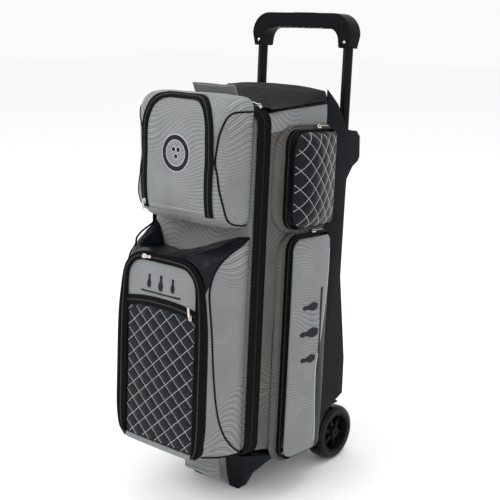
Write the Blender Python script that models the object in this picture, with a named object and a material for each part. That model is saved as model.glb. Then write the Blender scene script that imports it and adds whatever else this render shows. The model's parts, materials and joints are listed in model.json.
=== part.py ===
"""Rolling three-ball bowling bag with a telescopic handle, modelled in its own frame.

The bag is drawn upright (X to the side, Y to the back, Z up along the handle tubes) and
hangs on one empty, which leans it back onto its wheels and front feet.  Metres throughout.
"""
from math import asin, copysign, cos, pi, radians, sin, sqrt

import bmesh
import bpy
from mathutils import Matrix, Vector

# ---------------------------------------------------------------- driving dimensions
GAP = 0.0003                    # clearance between touching pieces
LEAN = radians(3.66)            # how far the standing bag leans back

BODY_HALF = 0.140               # half width of the ball body
FABRIC = 0.004                  # padded fabric wall
CORNER = 0.030                  # corner radius of the ball body, seen from the front
DOOR_FRONT = -0.185             # front face of the main door
ZIP_LINE = -0.165               # where the two halves of the main zip meet
TAPE_REAR = -0.144              # rear edge of the main zip tape
FABRIC_REAR = 0.0405            # where fabric gives way to the moulded back
BACK_FACE = 0.1085              # inner face of the moulded back
TOP_LINE = ((-0.185, 0.812), (-0.144, 0.8135), (0.037, 0.827), (0.110, 0.832))
BOTTOM_LINE = ((-0.185, 0.100), (-0.150, 0.0965), (-0.048, 0.070), (0.110, 0.066))
BODY_STATIONS = (ZIP_LINE + GAP, -0.150, TAPE_REAR, -0.048, 0.037, FABRIC_REAR)

BALL_RADIUS = 0.1085            # regulation ball with a little room
BALL_CENTRE_Y = -0.030
CUP_RADIUS = 0.104
CUP_HEIGHT = 0.046
SHELF_THICK = 0.007
BOARD_BASE = 0.1065
BOARD_HALF = 0.120
SHELF_LEVELS = (0.338, 0.573)

TUBE_X = 0.1185                 # handle tubes, from the middle
TUBE_Y = 0.134
INNER_TUBE = 0.0109
OUTER_TUBE = 0.0130
TUBE_WALL = 0.0012
TUBE_TOP = 0.965
OUTER_TUBE_SPAN = (0.142, 0.750)
INNER_TUBE_LOW = 0.340
BRACKET_SPAN = (0.692, 0.761)

GRIP_HALF = 0.1350
GRIP_GAP_HALF = 0.1030
GRIP_TOP = 1.010
GRIP_UNDER = 0.977
GRIP_LOW = 0.9376
GRIP_DEPTH = 0.034
BUTTON_HALF = 0.030
BUTTON_DEPTH = 0.022
BUTTON_TRAVEL = 0.004
HANDLE_FLOP = 0.45              # how far the top grab handle leans to the front, per height

WHEEL_RADIUS = 0.0635           # five-inch wheels
WHEEL_Y = 0.148
WHEEL_Z = 0.0635
WHEEL_X = (0.0950, 0.1400)
RIM_RADIUS = 0.0455
AXLE_RADIUS = 0.005

SHOE_HALF = 0.125
SHOE_BOTTOM = 0.112
SHOE_SHOULDER = 0.420
SHOE_RISE = 0.112
SHOE_FRONT = -0.294
SHOE_PANEL = 0.0057
GUSSET = 0.003

FLAP_POCKET = (-0.115, 0.115, 0.594, 0.834)    # accessory pocket on the door: x, x, z, z
FLAP_POCKET_CORNER = 0.045
FLAP_POCKET_FRONT = -0.259
FLAP_OPENING = (-0.085, 0.085, 0.6025, 0.822)
FLAP_THICK = 0.004

SIDE_RIM = 0.0197               # how far a side pocket's rim stands off the body
SIDE_POCKETS = {                # y, y, z, z, corner radius, swell of the cover
    "upper": (-0.100, 0.046, 0.573, 0.770, 0.020, 0.034),
    "lower": (-0.084, 0.046, 0.070, 0.552, 0.028, 0.020),
}

FOOT_X = 0.0525                 # middle of a front foot's sole
FOOT_Y = -0.0965
FOOT_SOLE = -0.0157
SOLE_HALF = 0.0145
ROUND = 32
TUBE_SIDES = 16

MATERIALS = {                   # colour, roughness, metallic
    "fabric_grey": ((0.30, 0.32, 0.33), 0.75, 0.0),
    "nylon_black": ((0.012, 0.012, 0.013), 0.60, 0.0),
    "vinyl_black": ((0.015, 0.015, 0.017), 0.28, 0.0),
    "mesh_black": ((0.020, 0.020, 0.021), 0.80, 0.0),
    "shell_plastic": ((0.018, 0.019, 0.021), 0.42, 0.0),
    "tube_black": ((0.010, 0.010, 0.011), 0.15, 0.6),
    "wheel_urethane": ((0.012, 0.012, 0.013), 0.20, 0.0),
    "foam": ((0.10, 0.10, 0.11), 0.90, 0.0),
    "lining": ((0.03, 0.03, 0.035), 0.80, 0.0),
    "steel": ((0.62, 0.60, 0.56), 0.25, 1.0),
}

PLACES = {}                     # bag-frame position of every empty


# ---------------------------------------------------------------- scene and materials
def clear_scene():
    """Remove whatever the scene holds."""
    for obj in list(bpy.data.objects):
        bpy.data.objects.remove(obj, do_unlink=True)


def material(name):
    """The material of that name, made once."""
    if name in bpy.data.materials:
        return bpy.data.materials[name]
    colour, roughness, metallic = MATERIALS[name]
    made = bpy.data.materials.new(name)
    made.use_nodes = True
    shader = made.node_tree.nodes["Principled BSDF"]
    shader.inputs["Base Color"].default_value = (*colour, 1.0)
    shader.inputs["Roughness"].default_value = roughness
    shader.inputs["Metallic"].default_value = metallic
    return made


def empty(name, place, parent=None):
    """An empty at a bag-frame place, which pieces and other empties hang on."""
    made = bpy.data.objects.new(name, None)
    bpy.context.collection.objects.link(made)
    PLACES[name] = Vector(place)
    if parent is not None:
        made.parent = parent
        made.location = PLACES[name] - PLACES[parent.name]
    return made


def piece(name, bm, finish, parent, origin=None):
    """Turn a bmesh drawn in the bag frame into a named object under an empty."""
    bmesh.ops.recalc_face_normals(bm, faces=bm.faces)
    origin = PLACES[parent.name] if origin is None else Vector(origin)
    bmesh.ops.translate(bm, verts=bm.verts, vec=-origin)
    mesh = bpy.data.meshes.new(name)
    bm.to_mesh(mesh)
    bm.free()
    mesh.shade_smooth()
    mesh.set_sharp_from_angle(angle=radians(35))
    mesh.materials.append(material(finish))
    made = bpy.data.objects.new(name, mesh)
    bpy.context.collection.objects.link(made)
    made.parent = parent
    made.location = origin - PLACES[parent.name]
    return made


def cut(target, cutter):
    """Subtract a hidden cutter from a piece."""
    cutter.hide_render = True
    cutter.display_type = "WIRE"
    boolean = target.modifiers.new("cut_" + cutter.name, "BOOLEAN")
    boolean.operation = "DIFFERENCE"
    boolean.object = cutter


# ---------------------------------------------------------------- outlines
def line_at(line, y):
    """Height of a broken line at y."""
    for (y0, z0), (y1, z1) in zip(line, line[1:]):
        if y <= y1:
            return z0 + (z1 - z0) * (y - y0) / (y1 - y0)
    return line[-1][1]


def arc(centre, radius, start, end, steps):
    """Points of an arc, angles in degrees."""
    angles = [radians(start + (end - start) * i / steps) for i in range(steps + 1)]
    return [(centre[0] + radius * cos(a), centre[1] + radius * sin(a)) for a in angles]


def rounded(low_u, high_u, low_v, high_v, radius, steps=4):
    """A rectangle with round corners, anticlockwise."""
    points = []
    corners = ((high_u - radius, high_v - radius), (low_u + radius, high_v - radius),
               (low_u + radius, low_v + radius), (high_u - radius, low_v + radius))
    for quarter, corner in enumerate(corners):
        points += arc(corner, radius, 90 * quarter, 90 * quarter + 90, steps)
    return points


def shoe_outline(inset=0.0):
    """The shoe compartment from the front: square foot, arched head."""
    half = SHOE_HALF - inset
    rise = SHOE_RISE - inset
    points = []
    for i in range(21):
        across = cos(pi * i / 20)
        height = SHOE_SHOULDER + rise * max(0.0, 1 - abs(across) ** 1.6) ** 0.6
        points.append((half * across, height))
    low = SHOE_BOTTOM + inset
    radius = 0.030 - inset
    points += arc((-half + radius, low + radius), radius, 180, 270, 4)
    points += arc((half - radius, low + radius), radius, 270, 360, 4)
    return points


# ---------------------------------------------------------------- solids
def place_xz(points, y):
    """Outline points as bag-frame places in a plane facing front."""
    return [Vector((u, y, v)) for u, v in points]


def place_yz(points, x):
    """Outline points as bag-frame places in a plane facing sideways."""
    return [Vector((x, u, v)) for u, v in points]


def loft(sections):
    """A solid through closed sections with equal counts of points."""
    bm = bmesh.new()
    face = bm.faces.new([bm.verts.new(point) for point in sections[0]])
    for count, section in enumerate(sections[1:]):
        face = grow(bm, [face], Vector(), keep=count == 0)[0]
        for vert, point in zip(face.verts, section):
            vert.co = point
    return bm


def ring(outer, inner, step):
    """A closed band between two outlines, extruded along a vector."""
    bm = bmesh.new()
    outside = [bm.verts.new(point) for point in outer]
    inside = [bm.verts.new(point) for point in inner]
    faces = [bm.faces.new((outside[i - 1], outside[i], inside[i], inside[i - 1]))
             for i in range(len(outside))]
    grow(bm, faces, step, keep=True)
    return bm


def grow(bm, faces, step, keep=False):
    """Extrude faces along a vector and give the new ones back; keep says if the old ones stay."""
    grown = bmesh.ops.extrude_face_region(bm, geom=faces)["geom"]
    verts = [item for item in grown if isinstance(item, bmesh.types.BMVert)]
    bmesh.ops.translate(bm, verts=verts, vec=step)
    if not keep:
        left = [face for face in faces if face.is_valid]
        bmesh.ops.delete(bm, geom=left, context="FACES_ONLY")
    return [item for item in grown if isinstance(item, bmesh.types.BMFace)]


def block(low, high, bevel=0.0):
    """A box between two corners, its edges rounded."""
    bm = bmesh.new()
    bmesh.ops.create_cube(bm, size=1.0)
    low, high = Vector(low), Vector(high)
    bmesh.ops.transform(bm, matrix=Matrix.Diagonal((*(high - low), 1)), verts=bm.verts)
    bmesh.ops.translate(bm, verts=bm.verts, vec=(low + high) / 2)
    if bevel:
        bmesh.ops.bevel(bm, geom=bm.edges, offset=bevel, segments=2, profile=0.5,
                        affect="EDGES", material=-1)
    return bm


def rod(radius, start, end, sides=TUBE_SIDES, bore=0.0):
    """A straight bar or tube between two places."""
    start, end = Vector(start), Vector(end)
    turn = (end - start).to_track_quat("Z", "Y").to_matrix().to_4x4()
    place = Matrix.Translation(start) @ turn
    step = end - start
    angles = [2 * pi * i / sides for i in range(sides)]
    outer = [place @ Vector((radius * cos(a), radius * sin(a), 0)) for a in angles]
    if not bore:
        return loft([outer, [point + step for point in outer]])
    inner = [place @ Vector((bore * cos(a), bore * sin(a), 0)) for a in angles]
    return ring(outer, inner, step)


def turned(profile, axis_place, axis, sides=ROUND):
    """Spin a profile of (radius, along) points about an axis."""
    bm = bmesh.new()
    verts = [bm.verts.new((radius, 0, along)) for radius, along in profile]
    edges = [bm.edges.new(pair) for pair in zip(verts, verts[1:])]
    if profile[0][0] > 0:
        edges.append(bm.edges.new((verts[-1], verts[0])))
    bmesh.ops.spin(bm, geom=verts + edges, cent=(0, 0, 0), axis=(0, 0, 1),
                   angle=2 * pi, steps=sides, use_merge=True)
    bmesh.ops.remove_doubles(bm, verts=bm.verts, dist=0.00001)
    turn = Vector(axis).to_track_quat("Z", "Y").to_matrix().to_4x4()
    bmesh.ops.transform(bm, matrix=Matrix.Translation(axis_place) @ turn, verts=bm.verts)
    return bm


def pillow(outline, height, step_direction, centre, hollow):
    """A swelling cover on a flat outline, hollowed from its flat side."""
    bm = bmesh.new()
    base = bm.faces.new([bm.verts.new(point) for point in outline])
    face = base
    rises = ((0.45, 0.985, 0.995), (0.35, 0.93, 0.98), (0.20, 0.74, 0.94))
    for share, across, along in rises:
        face = grow(bm, [face], step_direction * height * share, keep=face is base)[0]
        for vert in face.verts:
            vert.co.y = centre[0] + (vert.co.y - centre[0]) * across
            vert.co.z = centre[1] + (vert.co.z - centre[1]) * along
    bmesh.ops.inset_region(bm, faces=[base], thickness=0.010, use_even_offset=True)
    floor = grow(bm, [base], step_direction * hollow)[0]
    for vert in floor.verts:
        vert.co.y = centre[0] + (vert.co.y - centre[0]) * 0.92
    return bm


def polar_plate(radii, kept, sides, x, centre, thick):
    """A flat plate of ring sectors in a plane facing sideways, given a thickness."""
    bm = bmesh.new()
    rows = [[bm.verts.new((x, centre[0] + radius * cos(2 * pi * i / sides),
                           centre[1] + radius * sin(2 * pi * i / sides)))
             for i in range(sides)] for radius in radii]
    faces = []
    for row in range(len(radii) - 1):
        for i in range(sides):
            if kept(row, i):
                corners = (rows[row][i - 1], rows[row][i], rows[row + 1][i], rows[row + 1][i - 1])
                faces.append(bm.faces.new(corners))
    grow(bm, faces, Vector((thick, 0, 0)), keep=True)
    loose = [vert for vert in bm.verts if not vert.link_faces]
    bmesh.ops.delete(bm, geom=loose, context="VERTS")
    return bm


def mirrored(bm, side):
    """Flip a piece drawn for the right-hand side when it belongs on the left."""
    if side < 0:
        bmesh.ops.scale(bm, vec=(-1, 1, 1), verts=bm.verts)
    return bm


# ---------------------------------------------------------------- the ball body
def body_section(y, low, inset):
    """Half of the body's front outline at y: the roof (low False) or the floor."""
    half = BODY_HALF - inset
    radius = CORNER - inset
    if low:
        edge = line_at(BOTTOM_LINE, y) + inset
        return (arc((-half + radius, edge + radius), radius, 180, 270, 4)
                + arc((half - radius, edge + radius), radius, 270, 360, 4))
    edge = line_at(TOP_LINE, y) - inset
    return (arc((half - radius, edge - radius), radius, 0, 90, 4)
            + arc((-half + radius, edge - radius), radius, 90, 180, 4))


def curved_panel(low):
    """The roof or floor panel with its two round corners."""
    sections = []
    for y in BODY_STATIONS:
        skin = body_section(y, low, 0.0) + body_section(y, low, FABRIC)[::-1]
        sections.append(place_xz(skin, y))
    return loft(sections)


def side_panel():
    """The flat side panel between the roof's and the floor's corners."""
    reach = CORNER + GAP
    points = [(y, line_at(BOTTOM_LINE, y) + reach) for y in BODY_STATIONS]
    points += [(y, line_at(TOP_LINE, y) - reach) for y in reversed(BODY_STATIONS)]
    inner = place_yz(points, BODY_HALF - FABRIC)
    return loft([inner, place_yz(points, BODY_HALF)])


def tape(front, rear):
    """Half of the main zip: a thin band all round the body's edge."""
    stand = 0.0018
    loops = []
    for y in (front, rear):
        for out in (stand + GAP, GAP):
            radius = CORNER + out
            loops.append(place_xz(rounded(-BODY_HALF - out, BODY_HALF + out,
                                          line_at(BOTTOM_LINE, TAPE_REAR) - out,
                                          line_at(TOP_LINE, rear) + 0.001 + out, radius), y))
    return ring(loops[0], loops[1], Vector((0, rear - front, 0)))


def wall_strip(stations, half_widths, thick):
    """A plate that follows (y, z) stations, lying below them."""
    sections = []
    for (y, z), half in zip(stations, half_widths):
        corners = ((-half, z - thick), (half, z - thick), (half, z), (-half, z))
        sections.append(place_xz(corners, y))
    return loft(sections)


def build_body(bag):
    """Fabric panels, zip tape, shelves and ball cups."""
    piece("top_panel", curved_panel(False), "fabric_grey", bag)
    piece("bottom_panel", curved_panel(True), "fabric_grey", bag)
    piece("side_panel_right", side_panel(), "fabric_grey", bag)
    piece("side_panel_left", mirrored(side_panel(), -1), "fabric_grey", bag)
    piece("body_zip_tape", tape(ZIP_LINE + GAP, TAPE_REAR), "nylon_black", bag)
    inside = BODY_HALF - FABRIC - 0.0005
    board = block((-BOARD_HALF, -0.160, BOARD_BASE), (BOARD_HALF, 0.072, 0.110))
    piece("base_board", board, "lining", bag)
    for name, level in zip(("lower", "upper"), SHELF_LEVELS):
        low = (-inside, -0.160, level)
        high = (inside, BACK_FACE - GAP, level + SHELF_THICK)
        piece("shelf_" + name, block(low, high, 0.002), "lining", bag)
    levels = [0.110] + [level + SHELF_THICK for level in SHELF_LEVELS]
    for name, level in zip(("lower", "middle", "upper"), levels):
        piece("ball_cup_" + name, ball_cup(level + GAP), "foam", bag)


def ball_cup(level):
    """A round foam ring whose dish takes the ball."""
    sole = 0.006
    mouth = sqrt(BALL_RADIUS ** 2 - (BALL_RADIUS + sole - CUP_HEIGHT) ** 2)
    steps = 5
    dish = []
    for i in range(steps + 1):
        angle = asin(mouth / BALL_RADIUS) * (1 - i / steps)
        dish.append((BALL_RADIUS * sin(angle), sole + BALL_RADIUS * (1 - cos(angle))))
    profile = [(0, 0), (CUP_RADIUS, 0), (CUP_RADIUS, CUP_HEIGHT)] + dish
    return turned(profile, (0, BALL_CENTRE_Y, level), (0, 0, 1), 24)


# ---------------------------------------------------------------- the moulded back
def cheek():
    """One side wing of the moulded back, drawn as a flat plate."""
    outline = [(0.041, 0.8505), (0.062, 0.834), (0.079, 0.821), (0.119, 0.766), (0.155, 0.760),
               (0.168, 0.750), (0.1715, 0.7045), (0.166, 0.695), (0.1465, 0.684), (0.1265, 0.657),
               (0.124, 0.545), (0.122, 0.459), (0.142, 0.341), (0.159, 0.243), (0.161, 0.159),
               (0.135, 0.147), (0.095, 0.125), (0.078, 0.090), (0.070, 0.066), (0.041, 0.066)]
    return loft([place_yz(outline, BODY_HALF - FABRIC), place_yz(outline, BODY_HALF)])


def wheel_arch():
    """Guard over the front and top of a wheel, closed on its inner side."""
    low, high = 112, 200

    def kept(_, i):
        return low <= 360 * (i - 0.5) / ROUND <= high
    wall = polar_plate((0.0080, 0.0680, 0.0710), kept, ROUND, 0.0885, (WHEEL_Y, WHEEL_Z), 0.0027)
    centre = Vector((0, WHEEL_Y, WHEEL_Z))
    lip = [face for face in wall.faces if abs(face.calc_center_median().x - 0.0912) < 0.0001
           and ((face.calc_center_median() - centre).yz.length > 0.0685)]
    grow(wall, lip, Vector((BODY_HALF - FABRIC - GAP - 0.0912, 0, 0)))
    return wall


def foot():
    """A front leg that runs from the bag's corner down to a flat sole."""
    sole = FOOT_SOLE
    slope = sin(LEAN) / cos(LEAN)
    low = rounded(FOOT_X - SOLE_HALF, FOOT_X + SOLE_HALF,
                  FOOT_Y - SOLE_HALF, FOOT_Y + SOLE_HALF, 0.004, 2)
    knee = rounded(0.036, 0.086, -0.124, -0.076, 0.010, 2)
    head = rounded(0.066, 0.128, -0.168, -0.049, 0.012, 2)
    sections = [[Vector((x, y, sole + (y - FOOT_Y) * slope)) for x, y in low]]
    sections.append([Vector((x, y, 0.020)) for x, y in knee])
    under = line_at(BOTTOM_LINE, TAPE_REAR) - 0.0026
    sections.append([Vector((x, y, min(line_at(BOTTOM_LINE, y) - 0.0042, under)))
                     for x, y in head])
    return loft(sections)


def build_back(bag):
    """Moulded back, brackets, fixed tubes, base, feet, axle."""
    bay = BODY_HALF - FABRIC - GAP
    panel = block((-bay, BACK_FACE, 0.1415), (bay, 0.1125, 0.7720))
    piece("back_panel", panel, "shell_plastic", bag)
    stations = ((0.0408, 0.8285), (0.079, 0.8165), (BACK_FACE + 0.004, 0.7770))
    piece("back_crown", wall_strip(stations, (bay,) * 3, 0.0035), "shell_plastic", bag)
    keel = block((-0.0882, BACK_FACE, 0.0700), (0.0882, 0.1125, 0.1412))
    piece("back_keel", keel, "shell_plastic", bag)
    beam = block((-bay, 0.1128, 0.1372), (bay, 0.1500, 0.1416))
    piece("tube_beam", beam, "shell_plastic", bag)
    stations = [(y, line_at(BOTTOM_LINE, y) - GAP) for y in (TAPE_REAR + GAP, -0.048)]
    stations += [(0.058, 0.0668), (0.0585, 0.0668), (BACK_FACE + 0.004, 0.0668)]
    tray = wall_strip(stations, (0.128,) * 3 + (0.0875,) * 2, 0.003)
    piece("base_tray", tray, "shell_plastic", bag)
    for side, name in ((1, "right"), (-1, "left")):
        piece("back_cheek_" + name, mirrored(cheek(), side), "shell_plastic", bag)
        piece("wheel_arch_" + name, mirrored(wheel_arch(), side), "shell_plastic", bag)
        piece("front_foot_" + name, mirrored(foot(), side), "shell_plastic", bag)
        build_tube_holder(bag, side, name)
    carrier = piece("axle_carrier", block((-0.0855, 0.1130, 0.0460), (0.0855, 0.1650, 0.0820),
                                          0.004), "shell_plastic", bag)
    bore = rod(AXLE_RADIUS + 0.0005, (-0.10, WHEEL_Y, WHEEL_Z), (0.10, WHEEL_Y, WHEEL_Z))
    cut(carrier, piece("axle_bore", bore, "steel", bag))
    shaft = rod(AXLE_RADIUS, (-0.133, WHEEL_Y, WHEEL_Z), (0.133, WHEEL_Y, WHEEL_Z))
    piece("axle", shaft, "steel", bag)


def build_tube_holder(bag, side, name):
    """One fixed outer tube and the bracket that holds its head."""
    x = TUBE_X * side
    low, high = OUTER_TUBE_SPAN
    tube = rod(OUTER_TUBE, (x, TUBE_Y, low), (x, TUBE_Y, high), bore=OUTER_TUBE - TUBE_WALL)
    piece("outer_tube_" + name, tube, "tube_black", bag)
    low, high = BRACKET_SPAN
    body = mirrored(block((0.0985, 0.1130, low), (0.1357, 0.1680, high), 0.004), side)
    bracket = piece("tube_bracket_" + name, body, "shell_plastic", bag)
    bore = rod(OUTER_TUBE + 0.0006, (x, TUBE_Y, low - 0.01), (x, TUBE_Y, high + 0.01))
    cut(bracket, piece("bracket_bore_" + name, bore, "steel", bag))


# ---------------------------------------------------------------- handle
def strap(half, low, high, gap_half, gap_high, y, thick):
    """A flat grab handle seen from the front: a bar on two legs, its outer corners cut."""
    inset = 0.008
    shoulder = high - copysign(inset * 0.75, high - low)
    points = [(-half, low), (-gap_half, low), (-gap_half, gap_high), (gap_half, gap_high),
              (gap_half, low), (half, low), (half, shoulder),
              (half - inset, high), (inset - half, high), (-half, shoulder)]
    return loft([place_xz(points, y), place_xz(points, y + thick)])


def build_soft_handles(bag):
    """The fabric grab handles at the head and the foot, and the mesh pocket."""
    low = line_at(TOP_LINE, -0.128) + GAP
    top = strap(0.064, low, 0.856, 0.045, 0.834, -0.1380, 0.006)
    for vert in top.verts:
        vert.co.y -= (vert.co.z - low) * HANDLE_FLOP
    piece("top_handle", top, "fabric_grey", bag)
    low = line_at(BOTTOM_LINE, TAPE_REAR) - 0.0027
    bottom = strap(0.056, low, 0.012, 0.043, 0.034, -0.1600, 0.006)
    piece("bottom_handle", bottom, "fabric_grey", bag)
    flat = rounded(-0.130, 0.130, -0.070, 0.070, 0.030)
    rises = ((0.8300, 1.0), (0.843, 0.98), (0.852, 0.90), (0.858, 0.72))
    sections = [[Vector((x * share, 0.010 + y * share, z)) for x, y in flat] for z, share in rises]
    piece("mesh_pocket", loft(sections), "mesh_black", bag)


def grip_outline():
    """The grip from the front: an inverted U with large round shoulders."""
    outer, inner = 0.044, 0.024
    points = [(GRIP_HALF, GRIP_LOW)]
    points += arc((GRIP_HALF - outer, GRIP_TOP - outer), outer, 0, 90, 5)
    points += arc((-GRIP_HALF + outer, GRIP_TOP - outer), outer, 90, 180, 5)
    points += [(-GRIP_HALF, GRIP_LOW), (-GRIP_GAP_HALF, GRIP_LOW)]
    points += arc((-GRIP_GAP_HALF + inner, GRIP_UNDER - inner), inner, 180, 90, 4)
    points += arc((GRIP_GAP_HALF - inner, GRIP_UNDER - inner), inner, 90, 0, 4)
    points += [(GRIP_GAP_HALF, GRIP_LOW)]
    return points


def build_handle(slide, press):
    """Sliding tubes, grip and release button."""
    for side, name in ((1, "right"), (-1, "left")):
        x = TUBE_X * side
        tube = rod(INNER_TUBE, (x, TUBE_Y, INNER_TUBE_LOW), (x, TUBE_Y, TUBE_TOP),
                   bore=INNER_TUBE - TUBE_WALL)
        piece("inner_tube_" + name, tube, "tube_black", slide)
    front, rear = TUBE_Y - GRIP_DEPTH / 2, TUBE_Y + GRIP_DEPTH / 2
    outline = grip_outline()
    body = loft([place_xz(outline, front), place_xz(outline, rear)])
    edges = [edge for edge in body.edges if abs(edge.verts[0].co.y - edge.verts[1].co.y) < 0.001]
    bmesh.ops.bevel(body, geom=edges, offset=0.006, segments=2, profile=0.5, affect="EDGES",
                    material=-1)
    grip = piece("grip", body, "shell_plastic", slide)
    for side, name in ((1, "right"), (-1, "left")):
        x = TUBE_X * side
        bore = rod(INNER_TUBE + 0.0006, (x, TUBE_Y, 0.90), (x, TUBE_Y, TUBE_TOP + GAP))
        cut(grip, piece("grip_bore_" + name, bore, "steel", slide))
    play = 0.0005
    low, depth = GRIP_TOP - 0.008, BUTTON_DEPTH / 2
    pocket = block((-BUTTON_HALF - play, TUBE_Y - depth - play, low),
                   (BUTTON_HALF + play, TUBE_Y + depth + play, GRIP_TOP + 0.01))
    cut(grip, piece("button_pocket", pocket, "steel", slide))
    base = low + BUTTON_TRAVEL + 0.0004
    button = block((-BUTTON_HALF, TUBE_Y - depth, base),
                   (BUTTON_HALF, TUBE_Y + depth, GRIP_TOP + 0.0012), 0.0015)
    piece("release_button", button, "nylon_black", press)


# ---------------------------------------------------------------- wheels
def build_wheel(hinge, side, name):
    """Tyre and spoked hub of one wheel."""
    inner, outer = WHEEL_X
    half = (outer - inner) / 2
    middle = ((inner + outer) / 2 * side, WHEEL_Y, WHEEL_Z)
    bead = RIM_RADIUS + GAP * 2
    profile = [(bead, -half), (WHEEL_RADIUS - 0.009, -half), (WHEEL_RADIUS - 0.002, -half + 0.006),
               (WHEEL_RADIUS, 0), (WHEEL_RADIUS - 0.002, half - 0.006),
               (WHEEL_RADIUS - 0.009, half), (bead, half)]
    piece("tyre_" + name, turned(profile, middle, (1, 0, 0)), "wheel_urethane", hinge)

    def kept(row, i):
        return row != 1 or i % 4 == 0
    radii = (AXLE_RADIUS + 0.0004, 0.0130, 0.0390, RIM_RADIUS)
    plate = polar_plate(radii, kept, 24, inner + 0.003, (WHEEL_Y, WHEEL_Z), outer - inner - 0.006)
    piece("hub_" + name, mirrored(plate, side), "shell_plastic", hinge)


# ---------------------------------------------------------------- door and pockets
def build_door(door):
    """The padded main door with its half of the zip."""
    front, rear = DOOR_FRONT, ZIP_LINE - GAP
    low, high = line_at(BOTTOM_LINE, -0.15), line_at(TOP_LINE, -0.165)
    outline = rounded(-BODY_HALF, BODY_HALF, low, high, CORNER)
    panel = loft([place_xz(outline, front), place_xz(outline, rear)])
    piece("door_panel", panel, "fabric_grey", door)
    piece("door_zip_tape", tape(front, rear), "nylon_black", door)


def build_shoe_compartment(door, shoe):
    """Gusset on the door and the arched front that drops open."""
    rear, front = DOOR_FRONT - GAP, SHOE_FRONT + SHOE_PANEL + GAP
    gusset = ring(place_xz(shoe_outline(), rear), place_xz(shoe_outline(GUSSET), rear),
                  Vector((0, front - rear, 0)))
    piece("shoe_gusset", gusset, "fabric_grey", door)
    panel = loft([place_xz(shoe_outline(), SHOE_FRONT + SHOE_PANEL),
                  place_xz(shoe_outline(), SHOE_FRONT)])
    piece("shoe_door_panel", panel, "vinyl_black", shoe)


def build_flap_pocket(door, flap):
    """Accessory pocket on the door, with its flap."""
    x0, x1, z0, z1 = FLAP_POCKET
    rear, front = DOOR_FRONT - GAP, FLAP_POCKET_FRONT + FLAP_THICK + GAP
    outer = rounded(x0, x1, z0, z1, FLAP_POCKET_CORNER)
    inner = rounded(x0 + GUSSET, x1 - GUSSET, z0 + GUSSET, z1 - GUSSET,
                    FLAP_POCKET_CORNER - GUSSET)
    gusset = ring(place_xz(outer, rear), place_xz(inner, rear), Vector((0, front - rear, 0)))
    piece("flap_pocket_gusset", gusset, "fabric_grey", door)
    u0, u1, v0, v1 = FLAP_OPENING
    hole = rounded(u0 - GAP, u1 + GAP, v0 - GAP, v1 + GAP, 0.020)
    frame = ring(place_xz(outer, FLAP_POCKET_FRONT), place_xz(hole, FLAP_POCKET_FRONT),
                 Vector((0, FLAP_THICK, 0)))
    piece("flap_pocket_front", frame, "fabric_grey", door)
    leaf = rounded(u0, u1, v0, v1, 0.020)
    panel = loft([place_xz(leaf, FLAP_POCKET_FRONT), place_xz(leaf, FLAP_POCKET_FRONT + FLAP_THICK)])
    piece("flap_panel", panel, "fabric_grey", flap)


def build_side_pocket(bag, hinge, side, level, name):
    """Rim sewn to the body's side and the swelling cover that swings open."""
    y0, y1, z0, z1, radius, swell = SIDE_POCKETS[level]
    x = BODY_HALF + GAP
    outer = rounded(y0, y1, z0, z1, radius)
    inner = rounded(y0 + GUSSET, y1 - GUSSET, z0 + GUSSET, z1 - GUSSET, radius - GUSSET)
    rim = ring(place_yz(outer, x), place_yz(inner, x), Vector((SIDE_RIM - GAP, 0, 0)))
    piece("side_rim_" + name, mirrored(rim, side), "nylon_black", bag)
    start = BODY_HALF + SIDE_RIM + GAP
    middle = ((y0 + y1) / 2, (z0 + z1) / 2)
    cover = pillow(place_yz(outer, start), swell, Vector((1, 0, 0)), middle, swell * 0.45)
    finish = "vinyl_black" if level == "upper" else "fabric_grey"
    piece("side_cover_" + name, mirrored(cover, side), finish, hinge)


# ---------------------------------------------------------------- zip sliders
def slider(place, outward, along):
    """A zip slider with its pull, as one small plate on a body."""
    outward, along = Vector(outward), Vector(along)
    across = outward.cross(along)
    turn = Matrix((across, along, outward)).transposed().to_4x4()
    points = [(-0.0045, -0.006), (0.0045, -0.006), (0.0045, 0.004), (0.0025, 0.008),
              (0.0025, 0.030), (-0.0025, 0.030), (-0.0025, 0.008), (-0.0045, 0.004)]
    low = [Matrix.Translation(place) @ turn @ Vector((u, v, 0.0)) for u, v in points]
    return loft([low, [point + outward * 0.003 for point in low]])


def build_sliders(bag, door, shoe):
    """The metal zip sliders."""
    out = BODY_HALF + 0.0021 + GAP
    high = line_at(TOP_LINE, TAPE_REAR) + 0.001 + 0.0021 + GAP
    piece("main_slider_top", slider((0.085, -0.158, high), (0, 0, 1), (-1, 0, 0)), "steel", bag)
    piece("main_slider_side", slider((out, -0.158, 0.740), (1, 0, 0), (0, 0, -1)), "steel", bag)
    piece("shoe_slider", slider((-0.060, SHOE_FRONT - GAP, 0.494), (0, -1, 0), (1, 0, 0)),
          "steel", shoe)
    piece("flat_pocket_slider", slider((0.084, SHOE_FRONT - GAP, 0.400), (0, -1, 0), (0, 0, -1)),
          "steel", shoe)
    piece("flap_slider", slider((-0.103, FLAP_POCKET_FRONT - GAP, 0.620), (0, -1, 0), (0, 0, 1)),
          "steel", door)


# ---------------------------------------------------------------- assembly
def stand_on_floor(bag):
    """Lean the bag back, then set its lowest point and its middle on the origin."""
    bag.rotation_euler = (-LEAN, 0, 0)
    bpy.context.view_layer.update()
    depsgraph = bpy.context.evaluated_depsgraph_get()
    corners = []
    for obj in bpy.context.scene.objects:
        if obj.type == "MESH" and not obj.hide_render:
            mesh = obj.evaluated_get(depsgraph).to_mesh()
            corners += [obj.matrix_world @ vert.co for vert in mesh.vertices]
    low = [min(corner[axis] for corner in corners) for axis in range(3)]
    high = [max(corner[axis] for corner in corners) for axis in range(3)]
    bag.location = (-(low[0] + high[0]) / 2, -(low[1] + high[1]) / 2, -low[2])
    bpy.context.view_layer.update()


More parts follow.
